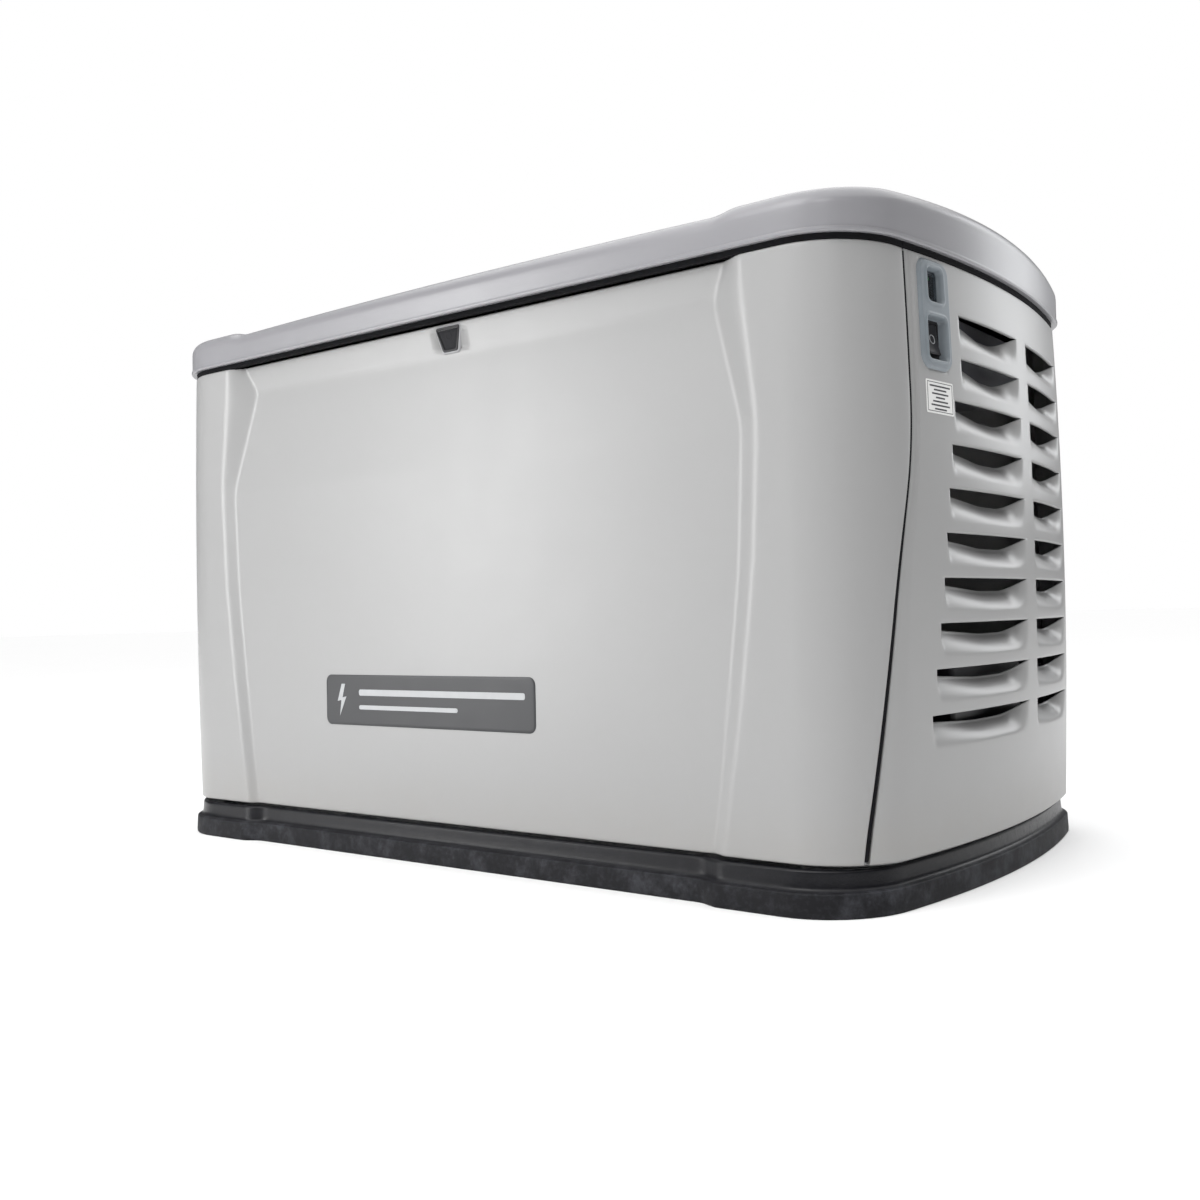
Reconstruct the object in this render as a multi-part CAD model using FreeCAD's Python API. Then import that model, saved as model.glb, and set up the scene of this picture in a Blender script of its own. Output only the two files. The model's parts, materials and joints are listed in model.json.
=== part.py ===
import FreeCAD, Part
import math
import os

# Home standby generator: a louvred sheet-metal enclosure with a hinged lid on a moulded pad,
# with an air-cooled V-twin engine, alternator, muffler, battery and controls inside.
# Millimetres. +X runs along the length, +Y to the back, +Z up. The origin is the centre of the
# pad's underside. Every piece is a solid of its own in parts/NAME.step.

V = FreeCAD.Vector
X_AXIS, Y_AXIS, Z_AXIS = V(1, 0, 0), V(0, 1, 0), V(0, 0, 1)

# ---- fits ----
FIT = 0.05                    # radial clearance of running pins and shafts
CLEAR = 0.3                   # clearance between pieces that don't touch

# ---- enclosure ----
BODY_HALF_LENGTH = 606.0
BODY_HALF_WIDTH = 314.0
CORNER_R = 95.0
END_BOW_R = 1220.0            # radius of the bowed ends, seen from above
SHEET = 2.0                   # panel thickness
HEM_Z = 50.0                  # lower edge of the panels
PANEL_TOP_Z = 670.0
FLANGE = 14.0                 # depth of the panels' folded edges
SEAM_GAP = 2.5
SEAM_TOP_Y = 88.0 - BODY_HALF_WIDTH       # front seam: upright above its knee, slanting forward below
SEAM_KNEE_Z = PANEL_TOP_Z - 200.0
SEAM_MID = (62.0 - BODY_HALF_WIDTH, PANEL_TOP_Z - 320.0)
SEAM_FOOT_Y = 22.0 - BODY_HALF_WIDTH
REAR_SEAM_Y = BODY_HALF_WIDTH - 58.0
SCREW_R = 3.0
SCREW_HEAD_R = 6.5
SCREW_HEAD_H = 4.0
SCREW_L = 12.0

# ---- front panel recess between the two corner pillars ----
PILLAR_W = 145.0              # width of a pillar where it is narrowest
RECESS_EDGE_X = BODY_HALF_LENGTH - PILLAR_W
RECESS_EDGE = ((RECESS_EDGE_X - 56.0, HEM_Z - 10.0), (RECESS_EDGE_X - 21.0, PANEL_TOP_Z - 440.0),
               (RECESS_EDGE_X, PANEL_TOP_Z - 180.0), (RECESS_EDGE_X - 17.0, PANEL_TOP_Z + 20.0))
RECESS_DEPTHS = ((7.0, PANEL_TOP_Z - 180.0), (20.0, PANEL_TOP_Z - 35.0), (11.0, PANEL_TOP_Z + 20.0))
RECESS_SLOPE = 3.2            # run of the bevel for each millimetre of depth

# ---- pad and tray ----
PAD_HALF_LENGTH = BODY_HALF_LENGTH - 4.0
PAD_HALF_WIDTH = BODY_HALF_WIDTH + 13.0
PAD_CORNER_R = CORNER_R + 8.0
PAD_FLANGE_H = 25.0
PAD_TOP_Z = HEM_Z - 4.0
PAD_STEP = 10.0               # how far the pad's waist recedes between the corners
PAD_WAIST_HALF = BODY_HALF_LENGTH - 234.0
PAD_LEDGE = 9.0               # ledge from the flange to the raised top
PAD_POCKET_H = 12.0
PAD_RIB = 12.0
TRAY_SHEET = 3.0
TRAY_LIP_H = 26.0
TRAY_INSET = SHEET + FLANGE + CLEAR
TRAY_TOP_Z = PAD_TOP_Z + TRAY_SHEET
ANCHOR_X = BODY_HALF_LENGTH - 106.0
ANCHOR_Y = BODY_HALF_WIDTH - 74.0
ANCHOR_R = 6.5

# ---- lid ----
LID_OVERHANG = (3.0, 5.0)     # past the ends, past the front and back
LID_HALF_LENGTH = BODY_HALF_LENGTH + LID_OVERHANG[0]
LID_HALF_WIDTH = BODY_HALF_WIDTH + LID_OVERHANG[1]
LID_CORNER_R = CORNER_R + 5.0
LID_LIP_Z = PANEL_TOP_Z + 6.0
LID_H = 61.0
LID_CREST_Z = LID_LIP_Z + LID_H
LID_ARCH_R = 2300.0
LID_STEP = 8.0                # the middle of the lid lies this much lower than its ends
LID_STEP_HALF = BODY_HALF_LENGTH - 202.0
LID_EDGE_R = 24.0
LID_WALL = 2.5
LID_FLANGE = 62.0
HINGE_Y = LID_HALF_WIDTH + 3.0
HINGE_Z = PANEL_TOP_Z - 1.0
HINGE_BARREL_R = 5.0
HINGE_PIN_R = 2.5
HINGE_KNUCKLE = 16.0
HINGE_GAP = 0.4
HINGE_X = BODY_HALF_LENGTH - 226.0
KNUCKLE_STEP = HINGE_KNUCKLE + HINGE_GAP
LEAF_T = 2.0

# ---- upper frame, posts and seal ----
FRAME_INSET_END = 20.0
FRAME_INSET_SIDE = 38.0
FRAME_WIDTH = 20.0
FRAME_Z = PANEL_TOP_Z - 18.0
FRAME_H = 8.0
FRAME_TAB_W = 40.0
SEAL_WIDTH = 13.0
SEAL_INSET = 3.0
POST_SIZE = 30.0
POST_SHEET = 3.0
POST_X = BODY_HALF_LENGTH - 94.0
POST_Y = BODY_HALF_WIDTH - 76.0

# ---- bezel, lens, switch and label on the right end ----
BEZEL_Y = SEAM_TOP_Y + 50.0
BEZEL_W = 60.0
BEZEL_H = 119.0
BEZEL_Z = (PANEL_TOP_Z - 3.0 - BEZEL_H, PANEL_TOP_Z - 3.0)
BEZEL_R = 15.0
BEZEL_PROUD = 3.5
BEZEL_DEEP = 14.0
BEZEL_FLANGE = 4.0
WINDOW = (14.0, BEZEL_Z[1] - 46.0, BEZEL_Z[1] - 11.0)      # half width, low z, high z
WINDOW_DEPTH = 6.0
POCKET = (18.0, BEZEL_Z[0] + 12.0, BEZEL_Z[0] + 57.0)
POCKET_DEPTH = 6.0
LENS_T = 2.0
ROCKER_GAP = 1.2
ROCKER_TIP = 9.0              # degrees that the rocker leans either way
ROCKER_DEPTH = 7.0
ROCKER_PIN_R = 1.5
ROCKER_INSET = 5.0
LABEL_W = 52.0
LABEL_H = 35.0
LABEL_Z = (BEZEL_Z[0] - 10.0 - LABEL_H, BEZEL_Z[0] - 10.0)
LABEL_T = 0.6
STATUS_LAMP_R = 2.5

# ---- louvres ----
LOUVRE_ROWS = 10
LOUVRE_PITCH = 47.3
LOUVRE_TOP_Z = PANEL_TOP_Z - 54.0
LOUVRE_H = 34.0
LOUVRE_DEPTH = 20.0
LOUVRE_TAPER = 24.0
LOUVRE_SLANT = 8.2            # below the knee the front ends step towards the seam by this a row
LOUVRE_UPPER_Y = SEAM_TOP_Y + 82.0
LOUVRE_STEPS = 7              # rows whose front ends follow the seam
LOUVRE_BEZEL_Y = BEZEL_Y + BEZEL_W / 2 + 21.0   # the top rows stop short of the bezel
LOUVRE_MIDDLE = (34.0, 66.0)  # inner ends of the two columns
LOUVRE_BACK_Y = REAR_SEAM_Y - 28.0

# ---- lock on the front panel ----
LOCK_TOP_W = 45.0
LOCK_FOOT_W = 27.0
LOCK_H = 31.0
LOCK_Z = (PANEL_TOP_Z - 1.0 - LOCK_H, PANEL_TOP_Z - 1.0)
LOCK_RIM = 3.0
LOCK_DEEP = 13.0
LOCK_CYL_R = 8.0
LOCK_COVER_T = 3.0
LOCK_HINGE_R = 1.2
LOCK_HINGE_Z = LOCK_Z[0] + LOCK_RIM + 2.8
LOCK_EAR_H = 3.5              # the cover is cut back beside its hinge up to this height
CAM_T = 3.0
CAM_L = 24.0

# ---- name plate ----
PLATE_X = (-236.0, 140.0)
PLATE_Z = (HEM_Z + 116.0, HEM_Z + 182.0)
PLATE_T = 0.8

# ---- engine and alternator ----
CRANK_Z = 250.0
CRANK_R = 17.0
CRANK_WEB_R = 44.0
CRANK_THROW = 26.0
CASE_X = (-300.0, -110.0)
CASE_R = 92.0
CASE_WALL = 10.0
SUMP_HALF_WIDTH = 100.0
SUMP_Z = 112.0
CYLINDER_X = (CASE_X[0] + 70.0, CASE_X[0] + 126.0)
CYLINDER_TILT = 45.0
CYLINDER_START = 94.0
CYLINDER_END = 185.0
BARREL_R = 48.0
BORE_R = 40.0
FIN_R = 68.0
FIN_T = 2.4
FIN_PITCH = 8.0
HEAD_SIZE = (112.0, 104.0, 42.0)
PORT_UP = 21.0                # ports above the head's foot
COVER_SIZE = (92.0, 78.0, 26.0)
PLUG_R = 7.0
STATOR_LENGTH = 200.0
STATOR_R = 116.0
STATOR_BORE_R = 84.0
STATOR_X = (CASE_X[1] + 50.0, CASE_X[1] + 50.0 + STATOR_LENGTH)
STATOR_BOLT_R = 4.0
STATOR_BOLT_OFFSET = 71.0
ROTOR_R = 82.0
ROTOR_X = (STATOR_X[0] + 18.0, STATOR_X[1] - 18.0)
CARRIER_X = (STATOR_X[1], STATOR_X[1] + 36.0)
SHAFT_END_X = CARRIER_X[1] + 12.0
FLYWHEEL_X = (CASE_X[0] - 52.0, CASE_X[0] - 16.0)
FLYWHEEL_R = 112.0
FAN_BLADES = 18
BLOWER_R = 132.0
BLOWER_X = (CASE_X[0] - 76.0, CASE_X[0])
BLOWER_WALL = 2.5
MOUNT_R = 22.0
MOUNT_H = 30.0
MOUNT_X = (CASE_X[0] + 38.0, CARRIER_X[0] + 18.0)
MOUNT_Y = 96.0
FOOT_T = 10.0
DIPSTICK_X = CASE_X[1] - 28.0
DIPSTICK_Y = -76.0
DIPSTICK_R = 4.0
DIPSTICK_Z = CRANK_Z + 190.0

# ---- muffler, intake and fuel ----
MUFFLER_X = 114.0 - BODY_HALF_LENGTH
MUFFLER_R = 62.0
MUFFLER_INLET_X = MUFFLER_X + MUFFLER_R + 8.0
MUFFLER_HALF = BODY_HALF_WIDTH - 118.0
MUFFLER_LEG_Y = 130.0
PIPE_R = 17.0
PIPE_WALL = 2.0
AIR_BOX_X = (CASE_X[0] + 6.0, CASE_X[0] + 140.0)
AIR_BOX_HALF = 92.0
AIR_BOX_Z = (CRANK_Z + 228.0, CRANK_Z + 316.0)
MIXER_R = 27.0
MIXER_X = (CYLINDER_X[0] + CYLINDER_X[1]) / 2
RUNNER_R = 11.0

# ---- dividers, battery, controls ----
LEFT_DIVIDER_X = 208.0 - BODY_HALF_LENGTH
RIGHT_DIVIDER_X = BODY_HALF_LENGTH - 275.0
DIVIDER_T = 3.0
DIVIDER_FOOT = 18.0
DIVIDER_HALF = BODY_HALF_WIDTH - 52.0
FUEL_X = RIGHT_DIVIDER_X + 37.0
FUEL_Z = 150.0
FUEL_BORE_R = 12.3
FUEL_BORE_L = 20.0
FUEL_R = 20.0
FUEL_PIPE_R = 15.0
REGULATOR_X = (RIGHT_DIVIDER_X + DIVIDER_T, RIGHT_DIVIDER_X + 71.0)
REGULATOR_Y = (BODY_HALF_WIDTH - 164.0, BODY_HALF_WIDTH - 64.0)
REGULATOR_Z = (330.0, 420.0)
HOSE_R = 11.0
HOSE_Y = REGULATOR_Y[0] - 30.0
HOSE_Z = 450.0
BATTERY_X = (RIGHT_DIVIDER_X + 65.0, RIGHT_DIVIDER_X + 239.0)
BATTERY_HALF = 104.0
BATTERY_H = 190.0
BATTERY_LID_H = 8.0
STRAP_T = 3.0
PANEL_BOX_X = (RIGHT_DIVIDER_X + DIVIDER_T, BODY_HALF_LENGTH - 50.0)
PANEL_BOX_Y = (88.0 - BODY_HALF_WIDTH, BODY_HALF_WIDTH - 118.0)
PANEL_BOX_Z = (PANEL_TOP_Z - 104.0, PANEL_TOP_Z - 34.0)
PANEL_BOX_WALL = 2.5
PANEL_MID_X = PANEL_BOX_X[0] + 118.0
DISPLAY_SIZE = (96.0, 54.0)
DISPLAY_Y = PANEL_BOX_Y[0] + 87.0
DISPLAY = (PANEL_MID_X - DISPLAY_SIZE[0] / 2, PANEL_MID_X + DISPLAY_SIZE[0] / 2,
           DISPLAY_Y - DISPLAY_SIZE[1] / 2, DISPLAY_Y + DISPLAY_SIZE[1] / 2)
BUTTON_R = 8.0
BUTTON_H = 3.0
BUTTON_TRAVEL = 2.0
BUTTON_COLLAR = 3.0
MODE_BUTTON_STEP = 40.0
MODE_BUTTON_Y = DISPLAY_Y + 109.0
ARROW_BUTTON_STEP = 31.0
ARROW_BUTTON_Y = DISPLAY_Y + 59.0
BOARD_DROP = 13.0
BOARD_T = 3.0
BREAKER_SIZE = (64.0, 90.0)
BREAKER_Y = PANEL_BOX_Y[1] - 85.0
BREAKER_LEVER_W = 16.0
LEVER_AXIS_DROP = 12.0
LEVER_PIN_R = 3.0
LEVER_LEAN = 20.0             # degrees that the lever leans either way
CONDUIT_X = RIGHT_DIVIDER_X - 81.0
CONDUIT_Z = 150.0
CONDUIT_R = 17.5


def box(x, y, z):
    """Block between the pairs of limits x, y and z."""
    return Part.makeBox(x[1] - x[0], y[1] - y[0], z[1] - z[0], V(x[0], y[0], z[0]))


def rod(radius, start, end):
    """Cylinder of the given radius from one point to another."""
    start, end = V(*start), V(*end)
    return Part.makeCylinder(radius, (end - start).Length, start, end - start)


def fuse(shapes):
    """One solid from overlapping shapes."""
    first, *rest = shapes
    return first.fuse(rest).removeSplitter() if rest else first


def prism(points, axis, start, end):
    """Prism over a polygon: axis 'x' takes (y, z) points, 'y' takes (x, z), 'z' takes (x, y)."""
    place = {"x": lambda a, b: V(start, a, b), "y": lambda a, b: V(a, start, b),
             "z": lambda a, b: V(a, b, start)}[axis]
    loop = [place(a, b) for a, b in points]
    face = Part.Face(Part.makePolygon(loop + loop[:1]))
    return face.extrude({"x": X_AXIS, "y": Y_AXIS, "z": Z_AXIS}[axis] * (end - start))


def pipe(radius, points):
    """Pipe with ball corners through a list of points."""
    shapes = [rod(radius, a, b) for a, b in zip(points, points[1:])]
    shapes += [Part.makeSphere(radius, V(*p)) for p in points[1:-1]]
    return fuse(shapes)


def rounded_block(x, y, z, radius, axis):
    """Block with its four edges along one axis rounded."""
    block = box(x, y, z)
    edges = [e for e in block.Edges
             if abs(e.tangentAt(e.FirstParameter).dot(axis)) > 0.99]
    return block.makeFillet(radius, edges)


def export(name, shapes):
    """Write the solids of a piece to its own file."""
    solids = [s for shape in shapes for s in shape.Solids]
    Part.Compound(solids).exportStep(f"parts/{name}.step")
    return solids


def plan_block(half_length, half_width, corner_r, low, high, end_r=END_BOW_R):
    """Upright block whose plan has straight sides, bowed ends and round corners between them."""
    bow_x = half_length - end_r
    reach = end_r - corner_r
    rise = half_width - corner_r
    corner_x = bow_x + math.sqrt(reach ** 2 - rise ** 2)
    cos_t, sin_t = (corner_x - bow_x) / reach, rise / reach
    tangent = (bow_x + end_r * cos_t, end_r * sin_t)
    half_turn = math.radians(90) - (math.radians(90) - math.atan2(sin_t, cos_t)) / 2
    middle = (corner_x + corner_r * math.cos(half_turn), rise + corner_r * math.sin(half_turn))

    def at(x, y):
        return V(x, y, low)

    edges = []
    for sx, sy in ((1, -1), (1, 1), (-1, 1), (-1, -1)):
        flat, bend = at(sx * corner_x, sy * half_width), at(sx * tangent[0], sy * tangent[1])
        corner = Part.Arc(flat, at(sx * middle[0], sy * middle[1]), bend).toShape()
        edges.append(corner)
    for s in (1, -1):
        edges.append(Part.Arc(at(s * tangent[0], -tangent[1]), at(s * half_length, 0),
                              at(s * tangent[0], tangent[1])).toShape())
        edges.append(Part.makeLine(at(-corner_x, s * half_width), at(corner_x, s * half_width)))
    wire = Part.Wire(Part.__sortEdges__(edges))
    return Part.Face(wire).extrude(Z_AXIS * (high - low))


def body_block(inset, low, high):
    """The enclosure's plan, drawn in by a distance on every side."""
    return plan_block(BODY_HALF_LENGTH - inset, BODY_HALF_WIDTH - inset, CORNER_R - inset,
                      low, high, END_BOW_R - inset)


def lid_block(inset, low, high):
    """The lid's plan, drawn in by a distance on every side."""
    return plan_block(LID_HALF_LENGTH - inset, LID_HALF_WIDTH - inset, LID_CORNER_R - inset,
                      low, high, END_BOW_R - inset)


def end_x(y):
    """Distance of the right end's outer face from the middle, at a place across the width."""
    return BODY_HALF_LENGTH - END_BOW_R + math.sqrt(END_BOW_R ** 2 - y ** 2)


def on_end(shape, y):
    """Turn a shape drawn at the middle of the right end round to another place on the end."""
    turned = shape.copy()
    centre = V(BODY_HALF_LENGTH - END_BOW_R, 0, 0)
    turned.rotate(centre, Z_AXIS, math.degrees(math.asin(y / END_BOW_R)))
    return turned


# ---------------------------------------------------------------- enclosure

def recess(grow):
    """Hollow between the pillars; grow enlarges it for the panel's inner face."""
    face_y = -BODY_HALF_WIDTH
    side = grow * math.sqrt(1 + RECESS_SLOPE ** 2)
    deepest = 30.0

    def outline(depth):
        run = RECESS_SLOPE * depth - side
        right = [(w - run, z) for w, z in RECESS_EDGE]
        left = [(-x, z) for x, z in reversed(right)]
        loop = [V(x, face_y + depth, z) for x, z in right + left]
        return Part.makePolygon(loop + loop[:1])

    funnel = Part.makeLoft([outline(-2.0), outline(deepest)], True, True)
    (d0, z0), (d1, z1), (d2, z2) = RECESS_DEPTHS
    depth_line = [(d0, 0.0), (d0, z0), (d1, z1), (d2, z2)]
    profile = [(face_y + d + grow, z) for d, z in depth_line]
    profile += [(face_y - 5, z2), (face_y - 5, 0.0)]
    width = BODY_HALF_LENGTH
    return funnel.common(prism(profile, "x", -width, width))


def seam_line(offset):
    """Front seam as (y, z) points from the top down, moved back by an offset."""
    return [(SEAM_TOP_Y + offset, PANEL_TOP_Z + 10), (SEAM_TOP_Y + offset, SEAM_KNEE_Z),
            (SEAM_MID[0] + offset, SEAM_MID[1]), (SEAM_FOOT_Y + offset, HEM_Z - 10)]


def band(low_offset, high_offset):
    """Slab between two offsets of the front seam, as long as the enclosure."""
    points = seam_line(low_offset) + seam_line(high_offset)[::-1]
    return prism(points, "x", -BODY_HALF_LENGTH - 10, BODY_HALF_LENGTH + 10)


def front_zone():
    """Everything ahead of the front seam."""
    outside = -BODY_HALF_WIDTH - 10
    points = seam_line(0) + [(outside, HEM_Z - 10), (outside, PANEL_TOP_Z + 10)]
    return prism(points, "x", -BODY_HALF_LENGTH - 10, BODY_HALF_LENGTH + 10)


def folded_edges(middle, inner):
    """Folds along the top and bottom edges of the panels, between two skins."""
    rim = middle.cut(inner)
    reach = 2 * BODY_HALF_LENGTH
    top = box((-reach, reach), (-reach, reach), (PANEL_TOP_Z - SHEET, PANEL_TOP_Z))
    hem = box((-reach, reach), (-reach, reach), (HEM_Z, HEM_Z + SHEET))
    return [rim.common(top), rim.common(hem)], rim


def front_panel():
    skins = [body_block(k, HEM_Z, PANEL_TOP_Z).cut(recess(k))
             for k in (0.0, SHEET, SHEET + FLANGE)]
    folds, rim = folded_edges(skins[1], skins[2])
    zone = front_zone()
    parts = [skins[0].cut(skins[1]).common(zone)]
    parts += [f.common(zone) for f in folds]
    parts.append(rim.common(band(-SHEET, 0)))
    hole = lock_place(lock_prism(LOCK_RIM * -0.5, -8.0, LOCK_DEEP + 6))
    return fuse(parts).cut(hole)


def louvre(y_low, y_high, lip_z, grow):
    """Scoop behind one louvre; grow enlarges it for the sheet's inner face."""
    y_mid, half = (y_low + y_high) / 2, (y_high - y_low) / 2
    face = BODY_HALF_LENGTH
    out = 4.0
    drop = LOUVRE_H * (1 + out / LOUVRE_DEPTH) + grow * 1.5
    wide = half + grow + out * LOUVRE_TAPER / LOUVRE_DEPTH
    narrow = half - LOUVRE_TAPER + grow * 2
    deep = LOUVRE_DEPTH + grow
    top = [V(face + out, -wide, lip_z), V(face + out, wide, lip_z),
           V(face - deep, narrow, lip_z), V(face - deep, -narrow, lip_z)]
    foot = [V(face + out, -wide, lip_z - drop), V(face + out, wide, lip_z - drop)]
    loops = [top, [top[0], foot[0], foot[1], top[1]], [foot[0], top[3], top[2], foot[1]],
             [foot[0], top[0], top[3]], [foot[1], top[2], top[1]]]
    faces = [Part.Face(Part.makePolygon(loop + loop[:1])) for loop in loops]
    return on_end(Part.makeSolid(Part.makeShell(faces)), y_mid)


def louvre_spans(beside_bezel):
    """Limits across the width and lip height of every louvre on an end panel."""
    spans = []
    for row in range(LOUVRE_ROWS):
        lip_z = LOUVRE_TOP_Z - row * LOUVRE_PITCH
        steps = max(0, row - (LOUVRE_ROWS - 1 - LOUVRE_STEPS))
        front = LOUVRE_UPPER_Y - steps * LOUVRE_SLANT
        if beside_bezel and lip_z > BEZEL_Z[0]:
            front = LOUVRE_BEZEL_Y
        spans.append((front, LOUVRE_MIDDLE[0], lip_z))
        spans.append((LOUVRE_MIDDLE[1], LOUVRE_BACK_Y, lip_z))
    return spans


def end_panel(beside_bezel):
    """Louvred right end panel, with the bezel's opening where it has one."""
    skins = [body_block(k, HEM_Z, PANEL_TOP_Z) for k in (0.0, SHEET, SHEET + FLANGE)]
    folds, rim = folded_edges(skins[1], skins[2])
    half = box((0, 2 * BODY_HALF_LENGTH), (-2 * BODY_HALF_WIDTH, REAR_SEAM_Y), (0, 2 * PANEL_TOP_Z))
    zone = half.cut(front_zone()).cut(band(-1, SEAM_GAP))
    front_fold = rim.common(band(SEAM_GAP, SEAM_GAP + SHEET)).common(half)
    rear_fold = rim.common(box((0, 2 * BODY_HALF_LENGTH), (REAR_SEAM_Y - SHEET, REAR_SEAM_Y),
                           (0, 2 * PANEL_TOP_Z)))
    parts = [skins[0].cut(skins[1]).common(zone), front_fold, rear_fold]
    parts += [f.common(zone) for f in folds]
    spans = louvre_spans(beside_bezel)
    scoops = [louvre(*span, SHEET).common(skins[0]) for span in spans]
    panel = fuse(parts + scoops).cut(Part.Compound([louvre(*span, 0.0) for span in spans]))
    if beside_bezel:
        panel = panel.cut(bezel_plug(CLEAR))
    return panel


def mirrored(shape):
    """Copy of a shape on the other end of the enclosure."""
    return shape.mirror(V(0, 0, 0), X_AXIS)


def rear_panel():
    """Rear panel, with the fuel and conduit openings."""
    skins = [body_block(k, HEM_Z, PANEL_TOP_Z) for k in (0.0, SHEET, SHEET + FLANGE)]
    folds, rim = folded_edges(skins[1], skins[2])
    seam = REAR_SEAM_Y + SEAM_GAP
    reach = 2 * BODY_HALF_LENGTH
    zone = box((-reach, reach), (seam, reach), (0, 2 * PANEL_TOP_Z))
    fold_zone = box((-reach, reach), (seam, seam + SHEET), (0, 2 * PANEL_TOP_Z))
    parts = [skins[0].cut(skins[1]).common(zone), rim.common(fold_zone)]
    parts += [f.common(zone) for f in folds]
    holes = [rod(FUEL_R + CLEAR, (FUEL_X, 100, FUEL_Z), (FUEL_X, 500, FUEL_Z)),
             rod(CONDUIT_R, (CONDUIT_X, 100, CONDUIT_Z), (CONDUIT_X, 500, CONDUIT_Z))]
    holes += [rod(SCREW_R + CLEAR, (x, 100, z), (x, 500, z)) for x, z in rear_screw_places()]
    return fuse(parts).cut(Part.Compound(holes))


def rear_screw_places():
    """Places of the rear panel's screws as (x, z)."""
    heights = (HEM_Z + 18, PANEL_TOP_Z - 30)
    return [(sx * x, z) for sx in (-1, 1) for x in (140.0, HINGE_X + 60) for z in heights]


def panel_screws():
    """Flanged screws that hold the rear panel."""
    screws = []
    face = BODY_HALF_WIDTH
    for x, z in rear_screw_places():
        head = rod(SCREW_HEAD_R, (x, face, z), (x, face + SCREW_HEAD_H, z))
        screws.append(head.fuse(rod(SCREW_R, (x, face - SCREW_L, z), (x, face, z))))
    return screws


def base_pad():
    """Moulded pad: a broad flange with bumped-out corners and a raised top."""
    def slab(inset, low, high):
        block = plan_block(PAD_HALF_LENGTH - inset, PAD_HALF_WIDTH - inset, PAD_CORNER_R - inset,
                           low, high, END_BOW_R - inset)
        waist = PAD_HALF_WIDTH - PAD_STEP - inset
        slant = 30.0
        cuts = []
        for s in (-1, 1):
            points = [(-PAD_WAIST_HALF, s * waist), (PAD_WAIST_HALF, s * waist),
                      (PAD_WAIST_HALF + slant, s * (waist + 2 * PAD_STEP)),
                      (-PAD_WAIST_HALF - slant, s * (waist + 2 * PAD_STEP))]
            cuts.append(prism(points, "z", low - 1, high + 1))
        return block.cut(cuts)

    pad = fuse([slab(0.0, 0.0, PAD_FLANGE_H), slab(PAD_LEDGE, PAD_FLANGE_H, PAD_TOP_Z)])
    across = (30.0 - ANCHOR_Y, ANCHOR_Y - 30.0)
    half = ANCHOR_X - 30.0
    count = 6
    pitch = 2 * half / count
    pockets = [box((-half + k * pitch, -half + (k + 1) * pitch - PAD_RIB), across, (-1, PAD_POCKET_H))
               for k in range(count)]
    return pad.cut(pockets).cut(anchor_holes(0, PAD_TOP_Z))


def anchor_holes(low, high):
    """Holes for the four anchor bolts."""
    return Part.Compound([rod(ANCHOR_R, (sx * ANCHOR_X, sy * ANCHOR_Y, low - 1),
                              (sx * ANCHOR_X, sy * ANCHOR_Y, high + 1))
                          for sx in (-1, 1) for sy in (-1, 1)])


def tray_block(extra, high):
    """The tray's plan, which clears the folded hem of the recessed front panel."""
    inset = TRAY_INSET + extra
    front = -BODY_HALF_WIDTH + RECESS_DEPTHS[0][0] + inset
    relief = box((-BODY_HALF_LENGTH + 120, BODY_HALF_LENGTH - 120), (front - 50, front), (0, high + 1))
    return body_block(inset, PAD_TOP_Z, high).cut(relief)


def base_tray():
    """Steel tray with a turned-up lip that carries everything inside."""
    rim_z = PAD_TOP_Z + TRAY_LIP_H
    lip = tray_block(0, rim_z).cut(tray_block(TRAY_SHEET, rim_z))
    port = rod(60, (MUFFLER_X, 0, PAD_TOP_Z - 1), (MUFFLER_X, 0, TRAY_TOP_Z + 1))
    return fuse([tray_block(0, TRAY_TOP_Z), lip]).cut([port, anchor_holes(PAD_TOP_Z, TRAY_TOP_Z)])


def frame_ring(extra, width, low, high):
    """Ring that follows the plan inside the panels."""
    def loop(inset):
        return plan_block(BODY_HALF_LENGTH - FRAME_INSET_END - inset,
                          BODY_HALF_WIDTH - FRAME_INSET_SIDE - inset,
                          CORNER_R - FRAME_INSET_END - inset + 6, low, high,
                          END_BOW_R - FRAME_INSET_END - inset)
    return loop(extra).cut(loop(extra + width))


def upper_frame():
    """Upper frame with the tabs that the panels' top folds rest on."""
    ring = frame_ring(0, FRAME_WIDTH, FRAME_Z, FRAME_Z + FRAME_H)
    high = PANEL_TOP_Z - SHEET - CLEAR
    half = FRAME_TAB_W / 2
    side_y = BODY_HALF_WIDTH - FRAME_INSET_SIDE
    tabs = []
    for x in (80 - HINGE_X, HINGE_X - 80):
        tabs.append(box((x - half, x + half), (side_y - 2, BODY_HALF_WIDTH - 8), (FRAME_Z, high)))
        tabs.append(box((x - half, x + half), (-side_y - 15, 2 - side_y), (FRAME_Z, high)))
    for s in (-1, 1):
        for y in (-LOUVRE_MIDDLE[1] - 40, LOUVRE_MIDDLE[1] + 40):
            reach = end_x(y)
            for inset, top in ((FRAME_INSET_END, high), (FRAME_INSET_END + 6, FRAME_Z + FRAME_H)):
                x = sorted((s * (reach - 8), s * (reach - inset)))
                tabs.append(box(x, (y - half, y + half), (FRAME_Z, top)))
    return fuse([ring] + tabs)


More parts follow.
